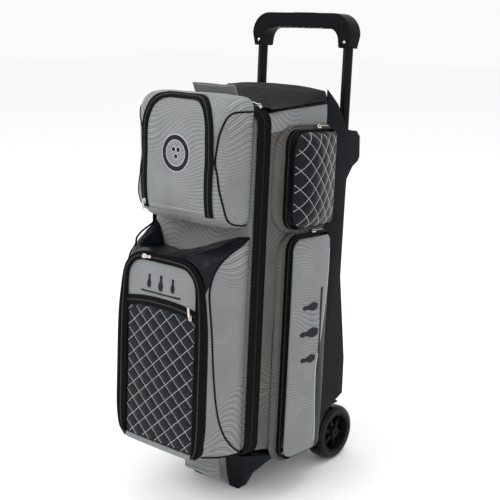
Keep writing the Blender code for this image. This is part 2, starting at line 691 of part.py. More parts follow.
def build():
    """Build the whole bag."""
    clear_scene()
    bag = empty("bag_frame", (0, 0, 0))
    build_body(bag)
    build_back(bag)
    build_soft_handles(bag)
    slide = empty("handle_slide", (0, TUBE_Y, GRIP_LOW), bag)
    press = empty("button_press", (0, TUBE_Y, GRIP_TOP), slide)
    build_handle(slide, press)
    hinge_line = (-BODY_HALF - 0.0022, ZIP_LINE, 0.455)
    door = empty("front_door_hinge", hinge_line, bag)
    build_door(door)
    shoe = empty("shoe_door_hinge", (0, SHOE_FRONT, SHOE_BOTTOM), door)
    build_shoe_compartment(door, shoe)
    flap = empty("flap_hinge", (0, FLAP_POCKET_FRONT, FLAP_OPENING[2]), door)
    build_flap_pocket(door, flap)
    for side, name in ((1, "right"), (-1, "left")):
        centre = (side * sum(WHEEL_X) / 2, WHEEL_Y, WHEEL_Z)
        build_wheel(empty("wheel_spin_" + name, centre, bag), side, name)
        for level, (_, y1, z0, z1, _, _) in SIDE_POCKETS.items():
            place = (side * (BODY_HALF + SIDE_RIM + GAP), y1, (z0 + z1) / 2)
            hinge = empty("side_cover_hinge_" + level + "_" + name, place, bag)
            build_side_pocket(bag, hinge, side, level, level + "_" + name)
    build_sliders(bag, door, shoe)
    stand_on_floor(bag)


build()
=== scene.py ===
"""Rolling bowling bag: fabric, vinyl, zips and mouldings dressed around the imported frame."""
import json
import logging
from dataclasses import dataclass
from enum import Enum
from functools import lru_cache
from math import asin, atan2, ceil, cos, degrees, exp, hypot, pi, radians, sin, sqrt, tau
from typing import Callable, Iterable, Sequence

import bmesh
import bpy
from mathutils import Matrix, Vector, noise
from mathutils.bvhtree import BVHTree


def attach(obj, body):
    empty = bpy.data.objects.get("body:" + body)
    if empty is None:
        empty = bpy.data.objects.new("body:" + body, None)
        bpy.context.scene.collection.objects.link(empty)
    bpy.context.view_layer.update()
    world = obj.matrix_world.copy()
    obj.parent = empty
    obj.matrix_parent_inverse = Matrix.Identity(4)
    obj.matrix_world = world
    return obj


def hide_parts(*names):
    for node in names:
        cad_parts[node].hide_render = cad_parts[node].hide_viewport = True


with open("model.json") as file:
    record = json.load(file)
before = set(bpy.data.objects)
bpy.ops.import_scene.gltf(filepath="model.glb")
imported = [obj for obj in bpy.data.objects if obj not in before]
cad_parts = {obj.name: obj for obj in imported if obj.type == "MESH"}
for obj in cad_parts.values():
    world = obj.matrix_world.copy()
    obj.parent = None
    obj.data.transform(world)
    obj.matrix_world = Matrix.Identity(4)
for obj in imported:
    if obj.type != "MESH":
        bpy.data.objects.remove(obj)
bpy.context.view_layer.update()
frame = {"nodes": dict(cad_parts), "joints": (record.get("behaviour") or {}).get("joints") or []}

LOG = logging.getLogger("bowling_bag")
Point = tuple[float, float, float]
Colour = tuple[float, float, float, float]
Mesh = bmesh.types.BMesh

RIGHT, BACK, UP = Vector((1, 0, 0)), Vector((0, 1, 0)), Vector((0, 0, 1))
FORWARD = Vector((0, -1, 0))
AXES = (RIGHT, BACK, UP)
SIDES = {"right": 1.0, "left": -1.0}
CLOTH_MAP = "cloth"
AHEAD = -0.34  # depth in front of the whole bag, from which threads are dropped onto it
BESIDE = 0.3  # place outside the right flank, from which threads are dropped onto it


# ---- the bag's own axes
@dataclass(frozen=True)
class BagSpace:
    """The leaning axes of the bag: x right, y back, z along the handle tubes."""

    matrix: Matrix

    @classmethod
    def from_frame(cls, joints: Sequence[dict]) -> "BagSpace":
        """Finds the bag's lean and place from two of the frame's joints.

        Args:
            joints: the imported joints, each with its name, axis and place.

        Returns:
            The space whose matrix takes bag places to frame places.
        """
        found = {joint["name"]: joint for joint in joints}
        axis = Vector(found["handle_slide"]["axis"])
        lean = Matrix.Rotation(-atan2(axis.y, axis.z), 4, "X")
        hub = Vector(found["wheel_spin_right"]["pos_m"])
        return cls(Matrix.Translation(hub - lean @ Vector((hub.x, Wheel.y, Wheel.z))) @ lean)

    def place(self, point: Iterable[float]) -> Vector:
        """Takes a place in the bag's axes to the frame."""
        return self.matrix @ Vector(point)


# ---- shaping tools
def line_at(line: Sequence[tuple[float, float]], at: float) -> float:
    """Reads a height off a bent line.

    Args:
        line: corners of the line, as (depth, height), in order of depth.
        at: the depth to read it at.

    Returns:
        The height there, level beyond the line's ends.
    """
    if at <= line[0][0]:
        return line[0][1]
    for (y0, z0), (y1, z1) in zip(line, line[1:]):
        if at <= y1:
            return z0 + (z1 - z0) * (at - y0) / (y1 - y0)
    return line[-1][1]


def ease(value: float, low: float = 0.0, high: float = 1.0) -> float:
    """Smooth step from 0 at low to 1 at high."""
    share = min(max((value - low) / (high - low), 0.0), 1.0)
    return share * share * (3 - 2 * share)


def block(low: Iterable[float], high: Iterable[float]) -> Mesh:
    """A plain box between two corners."""
    bm = bmesh.new()
    low, high = Vector(low), Vector(high)
    bmesh.ops.create_cube(bm, size=1.0)
    bmesh.ops.scale(bm, vec=high - low, verts=bm.verts)
    bmesh.ops.translate(bm, vec=(low + high) / 2, verts=bm.verts)
    return bm


def bevel(bm: Mesh, edges: list, width: float, segments: int) -> None:
    """Rounds the given edges."""
    bmesh.ops.bevel(bm, geom=edges, offset=width, offset_type="OFFSET", segments=segments,
                    profile=0.5, affect="EDGES", material=-1, clamp_overlap=True)


def round_along(bm: Mesh, axis: int, radius: float, segments: int = 8,
                chosen: Callable[[Vector], bool] = lambda middle: True) -> None:
    """Rounds the edges that run along one axis.

    Args:
        bm: the mesh.
        axis: 0, 1 or 2 for x, y or z.
        radius: the corner radius in metres.
        segments: how many facets make the corner.
        chosen: says by its middle whether an edge is rounded.
    """
    edges = []
    for edge in bm.edges:
        run = (edge.verts[1].co - edge.verts[0].co).normalized()
        if abs(run[axis]) > 0.99 and chosen((edge.verts[0].co + edge.verts[1].co) / 2):
            edges.append(edge)
    bevel(bm, edges, radius, segments)


def soften(bm: Mesh, width: float, segments: int = 2, angle: float = 32.0) -> None:
    """Rounds every edge that folds more sharply than an angle."""
    edges = [edge for edge in bm.edges if len(edge.link_faces) == 2
             and degrees(edge.calc_face_angle(0.0)) > angle]
    bevel(bm, edges, width, segments)


def slice_up(bm: Mesh, step: float, axes: Sequence[int] = (0, 1, 2)) -> None:
    """Cuts a mesh with evenly spaced planes, so that it can be shaped."""
    for axis in axes:
        spots = [vert.co[axis] for vert in bm.verts]
        low, high = min(spots), max(spots)
        count = max(1, round((high - low) / step))
        for i in range(1, count):
            geom = bm.verts[:] + bm.edges[:] + bm.faces[:]
            bmesh.ops.bisect_plane(bm, geom=geom, dist=1e-6, plane_no=AXES[axis],
                                   plane_co=AXES[axis] * (low + (high - low) * i / count))


def merge(*parts: Mesh) -> Mesh:
    """Joins several meshes into the first, each keeping its material numbers."""
    whole = parts[0]
    for part in parts[1:]:
        scrap = bpy.data.meshes.new("scrap")
        part.to_mesh(scrap)
        whole.from_mesh(scrap)
        bpy.data.meshes.remove(scrap)
        part.free()
    return whole


def paint(bm: Mesh, index: int) -> Mesh:
    """Gives the whole mesh one material number."""
    for face in bm.faces:
        face.material_index = index
    return bm


def mirrored(bm: Mesh) -> Mesh:
    """A copy on the other side of the bag, with its faces turned outwards."""
    other = bm.copy()
    bmesh.ops.scale(other, vec=(-1, 1, 1), verts=other.verts)
    bmesh.ops.reverse_faces(other, faces=other.faces)
    return other


def sided(bm: Mesh, side: float) -> Mesh:
    """The mesh itself on the right side, or its mirror image on the left."""
    return bm if side > 0 else mirrored(bm)


def face_outline(points: Sequence[Vector], radii: Sequence[float] | float,
                 segments: int = 8) -> list[Vector]:
    """Rounds the corners of a flat outline.

    Args:
        points: the corners, in order.
        radii: one radius for all corners, or one for each.
        segments: how many facets make a corner.

    Returns:
        The points of the rounded outline, in order.
    """
    bm = bmesh.new()
    face = bm.faces.new([bm.verts.new(point) for point in points])
    sizes = [radii] * len(points) if isinstance(radii, (int, float)) else list(radii)
    for size in sorted(set(sizes) - {0}):
        corners = [vert for vert in face.verts
                   for point, own in zip(points, sizes) if own == size
                   and (vert.co - point).length < 1e-6]
        bmesh.ops.bevel(bm, geom=corners, offset=size, offset_type="OFFSET", affect="VERTICES",
                        segments=segments, profile=0.5, material=-1, clamp_overlap=True)
        face = max(bm.faces, key=lambda item: len(item.verts))
    outline = [vert.co.copy() for vert in face.verts]
    bm.free()
    return outline


def frontal(x0: float, x1: float, z0: float, z1: float, radii: Sequence[float] | float,
            y: float = 0.0, segments: int = 8) -> list[Vector]:
    """A rounded rectangle that faces the front; radii start at the low left corner."""
    corners = [Vector((x0, y, z0)), Vector((x1, y, z0)), Vector((x1, y, z1)), Vector((x0, y, z1))]
    return face_outline(corners, radii, segments)


def deepen(bm: Mesh, depth: Vector) -> None:
    """Extrudes all of a flat mesh's faces by a depth, keeping the faces it had."""
    grown = bmesh.ops.extrude_face_region(bm, geom=bm.faces[:], use_keep_orig=True)
    moved = [item for item in grown["geom"] if isinstance(item, bmesh.types.BMVert)]
    bmesh.ops.translate(bm, vec=depth, verts=moved)


def plate(outline: Sequence[Vector], depth: Vector) -> Mesh:
    """A flat outline given a thickness."""
    bm = bmesh.new()
    bm.faces.new([bm.verts.new(point) for point in outline])
    deepen(bm, depth)
    bmesh.ops.recalc_face_normals(bm, faces=bm.faces)
    return bm


def smooth_path(points: Sequence[Iterable[float]], step: float,
                closed: bool = False) -> list[Vector]:
    """Draws a smooth line through points.

    Args:
        points: the places that it passes.
        step: the spacing of the places returned.
        closed: whether it comes back to its start.

    Returns:
        Places along the line, about a step apart.
    """
    knots = [Vector(point) for point in points]
    count = len(knots)
    line = []
    for i in range(count if closed else count - 1):
        spots = [knots[(i + k) % count] if closed else knots[min(max(i + k, 0), count - 1)]
                 for k in (-1, 0, 1, 2)]
        a, b, c, d = spots
        parts = max(1, ceil((c - b).length / step))
        for k in range(parts):
            t = k / parts
            line.append(0.5 * (2 * b + (c - a) * t + (2 * a - 5 * b + 4 * c - d) * t * t
                               + (3 * b - a - 3 * c + d) * t ** 3))
    return line if closed else line + [knots[-1]]


def even_path(points: Sequence[Vector], step: float, closed: bool = False) -> list[Vector]:
    """The same line with its places evenly spaced, corners kept within half a step."""
    run = list(points) + ([points[0]] if closed else [])
    lengths = [0.0]
    for a, b in zip(run, run[1:]):
        lengths.append(lengths[-1] + (b - a).length)
    count = max(2, round(lengths[-1] / step))
    line, at = [], 0
    for i in range(count if closed else count + 1):
        goal = lengths[-1] * i / count
        while at < len(run) - 2 and lengths[at + 1] < goal:
            at += 1
        span = max(lengths[at + 1] - lengths[at], 1e-9)
        line.append(run[at].lerp(run[at + 1], min(max((goal - lengths[at]) / span, 0.0), 1.0)))
    return line


def eased_path(path: Sequence[Vector]) -> list[Vector]:
    """The same path with its kinks eased and its ends kept."""
    path = list(path)
    for _ in range(3):
        path = [path[0]] + [(a + b * 2 + c) / 4 for a, b, c
                            in zip(path, path[1:], path[2:])] + [path[-1]]
    return path


def straight(start: Sequence[float], end: Sequence[float], parts: int) -> list[tuple[float, float]]:
    """Evenly spaced places on a line between two flat places."""
    return [(start[0] + (end[0] - start[0]) * i / parts, start[1] + (end[1] - start[1]) * i / parts)
            for i in range(parts + 1)]


def loft(outlines: Iterable[Sequence[Vector]], step: float, count: int, closed: bool) -> Mesh:
    """Joins closed outlines with a skin.

    Args:
        outlines: the outlines, in order.
        step: the spacing that their places are first evened to.
        count: how many places each one then keeps.
        closed: whether the last joins the first; if not, both ends are capped.

    Returns:
        The closed solid.
    """
    bm = bmesh.new()
    rings = []
    for outline in outlines:
        fine = even_path(outline, step, True)
        verts = [bm.verts.new(fine[int(i * len(fine) / count)]) for i in range(count)]
        rings.append([bm.edges.new((a, b)) for a, b in zip(verts, verts[1:] + verts[:1])])
    for a, b in zip(rings, rings[1:] + (rings[:1] if closed else [])):
        bmesh.ops.bridge_loops(bm, edges=a + b)
    for ring in () if closed else (rings[0], rings[-1]):
        bmesh.ops.contextual_create(bm, geom=ring)
    bmesh.ops.recalc_face_normals(bm, faces=bm.faces)
    return bm


def sweep(path: Sequence[Vector], section: Sequence[tuple[float, float]] | Callable,
          ups: Vector | Sequence[Vector], closed: bool = False) -> Mesh:
    """Extrudes a cross-section along a path.

    Args:
        path: the places that it follows.
        section: (across, up) corners of the cross-section, or a function of the step's number.
        ups: the way that faces up, for the whole path or for each place.
        closed: whether the path comes back to its start.

    Returns:
        The swept solid.
    """
    bm = bmesh.new()
    count = len(path)
    shape = section if callable(section) else lambda step: section

    def ring_at(i: int) -> list[Vector]:
        """Places of the cross-section's corners at one step."""
        before = path[i - 1] if closed or i else path[0]
        after = path[(i + 1) % count] if closed or i < count - 1 else path[i]
        along = (after - before).normalized()
        up = ups if isinstance(ups, Vector) else ups[i]
        across = along.cross(up).normalized()
        lift = across.cross(along)
        return [path[i] + across * a + lift * b for a, b in shape(i)]

    ring = [bm.verts.new(spot) for spot in ring_at(0)]
    edges = [bm.edges.new((a, b)) for a, b in zip(ring, ring[1:] + ring[:1])]
    first = edges
    if not closed:
        bm.faces.new(ring)
    for i in range(1, count):
        grown = bmesh.ops.extrude_edge_only(bm, edges=edges)["geom"]
        fresh = [item for item in grown if isinstance(item, bmesh.types.BMVert)]
        edges = [item for item in grown if isinstance(item, bmesh.types.BMEdge)
                 and all(vert in fresh for vert in item.verts)]
        for vert, spot in zip(fresh, ring_at(i)):
            vert.co = spot
    if closed:
        bmesh.ops.bridge_loops(bm, edges=edges + first)
    else:
        bmesh.ops.contextual_create(bm, geom=edges)
    bmesh.ops.recalc_face_normals(bm, faces=bm.faces)
    return bm


def circle(radius: float, sides: int = 8) -> list[tuple[float, float]]:
    """A round cross-section."""
    return [(radius * cos(tau * i / sides), radius * sin(tau * i / sides)) for i in range(sides)]


def ribbon(width: float, thick: float, ridge: float = 0.0) -> list[tuple[float, float]]:
    """A flat cross-section that lies on the path, with eased edges and a raised middle."""
    half, ease_in = width / 2, min(thick * 0.6, width / 6)
    return [(-half, 0), (half, 0), (half, thick * 0.6), (half - ease_in, thick),
            (0, thick + ridge), (ease_in - half, thick), (-half, thick * 0.6)]


def turned(profile: Sequence[tuple[float, float]], centre: Iterable[float], axis: Vector,
           steps: int = 48) -> Mesh:
    """Spins a closed (radius, height) profile about an axis.

    Args:
        profile: corners of the profile, in order.
        centre: the place on the axis that height 0 has.
        axis: the way that heights go.
        steps: facets of the full turn.

    Returns:
        The turned solid.
    """
    bm = bmesh.new()
    aside = axis.orthogonal().normalized()
    centre = Vector(centre)
    ring = [bm.verts.new(centre + aside * radius + axis * height) for radius, height in profile]
    edges = [bm.edges.new((a, b)) for a, b in zip(ring, ring[1:] + ring[:1])]
    bmesh.ops.spin(bm, geom=ring + edges, cent=centre, axis=axis, angle=tau, steps=steps,
                   use_merge=True, use_duplicate=False)
    bmesh.ops.remove_doubles(bm, verts=bm.verts, dist=1e-6)
    bmesh.ops.recalc_face_normals(bm, faces=bm.faces)
    return bm


def formed(columns: int, rows: int, shape: Callable[[float, float], Vector],
           tint: Callable[[float, float], int] = lambda u, v: 0) -> Mesh:
    """Bends a grid into a curved sheet.

    Args:
        columns: how many cells it has across.
        rows: how many cells it has along.
        shape: takes two numbers from 0 to 1 to a place.
        tint: takes the same two numbers, at a cell's middle, to its material number.

    Returns:
        The curved sheet.
    """
    bm = bmesh.new()
    bmesh.ops.create_grid(bm, x_segments=columns, y_segments=rows, size=0.5)
    for face in bm.faces:
        middle = face.calc_center_median()
        face.material_index = tint(middle.x + 0.5, middle.y + 0.5)
    for vert in bm.verts:
        vert.co = shape(vert.co.x + 0.5, vert.co.y + 0.5)
    bmesh.ops.remove_doubles(bm, verts=bm.verts, dist=1e-5)
    return bm


def thicken(bm: Mesh, inward: float) -> Mesh:
    """Gives a sheet its wall, behind its outer face."""
    bmesh.ops.solidify(bm, geom=bm.faces[:], thickness=inward)
    return bm


def displace(bm: Mesh, shift: Callable[[Vector, Vector], float]) -> Mesh:
    """Moves every point along its normal by a distance that depends on its place."""
    bm.normal_update()
    moves = [(vert, vert.normal * shift(vert.co, vert.normal)) for vert in bm.verts]
    for vert, move in moves:
        vert.co += move
    return bm


def drape_noise(point: Vector, size: float, seed: float) -> float:
    """A slow random wave for the give of cloth, from -1 to 1."""
    return noise.noise(point / size + Vector((seed, seed * 2, -seed)))


def in_scene(name: str, data: bpy.types.ID) -> bpy.types.Object:
    """A new object of the scene that shows a mesh, lamp or camera."""
    item = bpy.data.objects.new(name, data)
    bpy.context.scene.collection.objects.link(item)
    return item


def as_object(bm: Mesh, name: str) -> bpy.types.Object:
    """An object that holds a mesh."""
    mesh = bpy.data.meshes.new(name)
    bm.to_mesh(mesh)
    return in_scene(name, mesh)


def discard(item: bpy.types.Object) -> None:
    """Removes a scratch object and its mesh."""
    mesh = item.data
    bpy.data.objects.remove(item)
    bpy.data.meshes.remove(mesh)


def taken_back(item: bpy.types.Object) -> Mesh:
    """The mesh of a scratch object with its modifiers applied; the object is removed."""
    bpy.context.view_layer.update()
    final = item.evaluated_get(bpy.context.evaluated_depsgraph_get()).to_mesh()
    bm = bmesh.new()
    bm.from_mesh(final)
    discard(item)
    return bm


def trimmed(bm: Mesh, tool: Mesh, operation: str) -> Mesh:
    """Cuts a solid with another one; operation is a boolean modifier's."""
    body, cutter = as_object(bm, "body"), as_object(tool, "cutter")
    cut = body.modifiers.new("cut", "BOOLEAN")
    cut.operation = operation
    cut.solver = "EXACT"
    cut.object = cutter
    result = taken_back(body)
    discard(cutter)
    return result


def inflated(bm: Mesh, cap: float, pinned: Callable[[Vector], float], voxel: float = 0.005,
             pressure: float = 4.0, finer: int = 1) -> Mesh:
    """Swells a closed pad as stuffed cloth.

    Args:
        bm: the slim starting shape.
        cap: how far a point may move, in metres.
        pinned: how firmly the seams hold a place, from 0 to 1.
        voxel: the size of the cloth's cells.
        pressure: the stuffing's pressure.
        finer: how many times the result is subdivided.

    Returns:
        The swollen pad.
    """
    source = as_object(bm, "pad")
    bm.free()
    cells = source.modifiers.new("cells", "REMESH")
    cells.mode = "VOXEL"
    cells.voxel_size = voxel
    cells.adaptivity = 0.0
    pad_mesh = taken_back(source)
    pad = as_object(pad_mesh, "pad")
    start = [vert.co.copy() for vert in pad_mesh.verts]
    pad_mesh.free()
    hold = pad.vertex_groups.new(name="hold")
    for i, spot in enumerate(start):
        hold.add([i], pinned(spot), "REPLACE")
    cloth = pad.modifiers.new("cloth", "CLOTH")
    cloth.settings.quality = 4
    cloth.settings.mass = 0.3
    cloth.settings.tension_stiffness = 12
    cloth.settings.compression_stiffness = 12
    cloth.settings.bending_stiffness = 0.6
    cloth.settings.use_pressure = True
    cloth.settings.uniform_pressure_force = pressure
    cloth.settings.effector_weights.gravity = 0.0
    cloth.settings.vertex_group_mass = "hold"
    cloth.point_cache.frame_start = 1
    cloth.point_cache.frame_end = 20
    for step in range(1, 21):
        bpy.context.scene.frame_set(step)
    swollen = taken_back(pad)
    bpy.context.scene.frame_set(1)
    swollen.verts.ensure_lookup_table()
    for vert, home in zip(swollen.verts, start):
        move = vert.co - home
        if move.length > 1e-9:
            vert.co = home + move * (cap * (1 - exp(-move.length / cap)) / move.length)
    for _ in range(2):
        bmesh.ops.smooth_vert(swollen, verts=swollen.verts, factor=0.5, use_axis_x=True,
                              use_axis_y=True, use_axis_z=True)
    if finer:
        holder = as_object(swollen, "finer")
        swollen.free()
        subdivision = holder.modifiers.new("finer", "SUBSURF")
        subdivision.levels = subdivision.render_levels = finer
        swollen = taken_back(holder)
    return swollen


@dataclass
class Skin:
    """A finished surface that stitches and badges are laid on."""

    tree: BVHTree

    @classmethod
    def of(cls, bm: Mesh) -> "Skin":
        """Reads the surface of a mesh."""
        return cls(BVHTree.FromBMesh(bm))

    def drop(self, start: Vector, way: Vector) -> tuple[Vector, Vector] | None:
        """Where a thread pushed that way meets the surface, and which way faces out there."""
        spot, normal, _, _ = self.tree.ray_cast(start, way)
        if spot is None:
            return None
        return spot, (normal if normal.dot(way) < 0 else -normal)


# ---- finishes
def in_frame(nodes: bpy.types.Nodes, label: str, members: Sequence[bpy.types.Node]) -> None:
    """Groups the nodes of one effect in a labelled frame."""
    group = nodes.new("NodeFrame")
    group.label = label
    for member in members:
        member.parent = group


@dataclass(frozen=True)
class RibbedCloth:
    """Polyester with a fine raised rib across it and a watered sheen."""

    name: str
    light: Colour
    dark: Colour
    slot: str = "fabric_grey"
    ribs: float = 118.0
    roughness: float = 0.62

    def material(self) -> bpy.types.Material:
        """Writes the cloth's nodes."""
        material = bpy.data.materials.new(self.name)
        material.use_nodes = True
        nodes, links = material.node_tree.nodes, material.node_tree.links
        nodes.clear()
        output = nodes.new("ShaderNodeOutputMaterial")
        output.label = "cloth"
        output.location = (900, 0)
        shader = nodes.new("ShaderNodeBsdfPrincipled")
        shader.label = "polyester"
        shader.location = (600, 0)
        shader.inputs["Roughness"].default_value = self.roughness
        shader.inputs["Sheen Weight"].default_value = 0.1
        shader.inputs["Sheen Roughness"].default_value = 0.4
        shader.inputs["Specular IOR Level"].default_value = 0.25
        place = nodes.new("ShaderNodeUVMap")
        place.label = "lie of the cloth"
        place.location = (-900, 0)
        place.uv_map = CLOTH_MAP
        rib = nodes.new("ShaderNodeTexWave")
        rib.label = "raised ribs"
        rib.location = (-600, 200)
        rib.wave_type = "BANDS"
        rib.bands_direction = "Y"
        rib.inputs["Scale"].default_value = self.ribs
        rib.inputs["Distortion"].default_value = 210.0
        rib.inputs["Detail"].default_value = 0.0
        rib.inputs["Detail Scale"].default_value = 0.045
        water = nodes.new("ShaderNodeTexWave")
        water.label = "watered bands"
        water.location = (-600, -150)
        water.wave_type = "BANDS"
        water.bands_direction = "Y"
        water.inputs["Scale"].default_value = self.ribs * 0.42
        water.inputs["Distortion"].default_value = 95.0
        water.inputs["Detail"].default_value = 0.0
        water.inputs["Detail Scale"].default_value = 0.107
        soil = nodes.new("ShaderNodeTexNoise")
        soil.label = "slow change of shade"
        soil.location = (-600, -450)
        soil.inputs["Scale"].default_value = 14.0
        soil.inputs["Detail"].default_value = 3.0
        thread = nodes.new("ShaderNodeMix")
        thread.label = "light and dark threads"
        thread.location = (-50, 150)
        thread.data_type = "RGBA"
        thread.inputs["A"].default_value = self.dark
        thread.inputs["B"].default_value = self.light
        share = nodes.new("ShaderNodeMath")
        share.label = "ribs with bands"
        share.location = (-330, 150)
        share.operation = "MULTIPLY_ADD"
        share.inputs[1].default_value = 0.62
        spread = nodes.new("ShaderNodeMath")
        spread.label = "strength of the bands"
        spread.location = (-330, -100)
        spread.operation = "MULTIPLY"
        spread.inputs[1].default_value = 0.38
        shade = nodes.new("ShaderNodeMix")
        shade.label = "worn shade"
        shade.location = (200, 100)
        shade.data_type = "RGBA"
        shade.blend_type = "MULTIPLY"
        shade.inputs["Factor"].default_value = 0.35
        relief = nodes.new("ShaderNodeBump")
        relief.label = "rib relief"
        relief.location = (300, -250)
        relief.inputs["Strength"].default_value = 0.45
        relief.inputs["Distance"].default_value = 0.0006
        links.new(place.outputs["UV"], rib.inputs["Vector"])
        links.new(place.outputs["UV"], water.inputs["Vector"])
        links.new(place.outputs["UV"], soil.inputs["Vector"])
        links.new(water.outputs["Fac"], spread.inputs[0])
        links.new(rib.outputs["Fac"], share.inputs[0])
        links.new(spread.outputs["Value"], share.inputs[2])
        links.new(share.outputs["Value"], thread.inputs["Factor"])
        links.new(thread.outputs["Result"], shade.inputs["A"])
        links.new(soil.outputs["Fac"], shade.inputs["B"])
        links.new(shade.outputs["Result"], shader.inputs["Base Color"])
        links.new(rib.outputs["Fac"], relief.inputs["Height"])
        links.new(relief.outputs["Normal"], shader.inputs["Normal"])
        links.new(shader.outputs["BSDF"], output.inputs["Surface"])
        in_frame(nodes, "ribs", (rib, share))
        in_frame(nodes, "watered sheen", (water, spread))
        in_frame(nodes, "wear", (soil, shade))
        return material


@dataclass(frozen=True)
class GrainedSurface:
    """A dark finish with a cell or speckle grain: vinyl, moulding, webbing, mesh, urethane."""

    name: str
    slot: str
    tone: Colour
    lift: Colour
    roughness: float
    grain: float
    relief: float
    cells: bool = False
    metallic: float = 0.0
    coat: float = 0.0
    sheen: float = 0.0
    shine: float = 0.12
    stretch: Point = (1.0, 1.0, 1.0)

    def material(self) -> bpy.types.Material:
        """Writes the finish's nodes."""
        material = bpy.data.materials.new(self.name)
        material.use_nodes = True
        nodes, links = material.node_tree.nodes, material.node_tree.links
        nodes.clear()
        output = nodes.new("ShaderNodeOutputMaterial")
        output.label = "finish"
        output.location = (900, 0)
        shader = nodes.new("ShaderNodeBsdfPrincipled")
        shader.label = "body of the material"
        shader.location = (600, 0)
        shader.inputs["Metallic"].default_value = self.metallic
        shader.inputs["Specular IOR Level"].default_value = self.shine
        shader.inputs["Coat Weight"].default_value = self.coat
        shader.inputs["Coat Roughness"].default_value = 0.12
        shader.inputs["Sheen Weight"].default_value = self.sheen
        place = nodes.new("ShaderNodeTexCoord")
        place.label = "place on the piece"
        place.location = (-1100, 0)
        turn = nodes.new("ShaderNodeMapping")
        turn.label = "lie of the grain"
        turn.location = (-900, 0)
        turn.inputs["Scale"].default_value = self.stretch
        if self.cells:
            grain = nodes.new("ShaderNodeTexVoronoi")
            grain.feature = "F1"
            grain_height = grain.outputs["Distance"]
        else:
            grain = nodes.new("ShaderNodeTexNoise")
            grain.inputs["Detail"].default_value = 2.0
            grain_height = grain.outputs["Fac"]
        grain.label = "fine grain"
        grain.location = (-650, 200)
        grain.inputs["Scale"].default_value = self.grain
        wear = nodes.new("ShaderNodeTexNoise")
        wear.label = "handling marks"
        wear.location = (-650, -200)
        wear.inputs["Scale"].default_value = 22.0
        wear.inputs["Detail"].default_value = 5.0
        wear.inputs["Roughness"].default_value = 0.6
        colour = nodes.new("ShaderNodeMix")
        colour.label = "tone and its lift"
        colour.location = (-200, 150)
        colour.data_type = "RGBA"
        colour.inputs["A"].default_value = self.tone
        colour.inputs["B"].default_value = self.lift
        gloss = nodes.new("ShaderNodeMapRange")
        gloss.label = "gloss worn unevenly"
        gloss.location = (-200, -150)
        gloss.inputs["From Min"].default_value = 0.3
        gloss.inputs["From Max"].default_value = 0.7
        gloss.inputs["To Min"].default_value = self.roughness * 0.88
        gloss.inputs["To Max"].default_value = min(self.roughness * 1.15, 1.0)
        relief = nodes.new("ShaderNodeBump")
        relief.label = "grain relief"
        relief.location = (200, -300)
        relief.inputs["Strength"].default_value = 0.35
        relief.inputs["Distance"].default_value = self.relief
        links.new(place.outputs["Object"], turn.inputs["Vector"])
        links.new(turn.outputs["Vector"], grain.inputs["Vector"])
        links.new(turn.outputs["Vector"], wear.inputs["Vector"])
        links.new(grain_height, colour.inputs["Factor"])
        links.new(colour.outputs["Result"], shader.inputs["Base Color"])
        links.new(wear.outputs["Fac"], gloss.inputs["Value"])
        links.new(gloss.outputs["Result"], shader.inputs["Roughness"])
        links.new(grain_height, relief.inputs["Height"])
        links.new(relief.outputs["Normal"], shader.inputs["Normal"])
        links.new(shader.outputs["BSDF"], output.inputs["Surface"])
        in_frame(nodes, "grain", (grain, colour, relief))
        in_frame(nodes, "wear", (wear, gloss))
        return material


@lru_cache(maxsize=None)
def made(finish: RibbedCloth | GrainedSurface) -> bpy.types.Material:
    """The material of a finish, written once."""
    return finish.material()


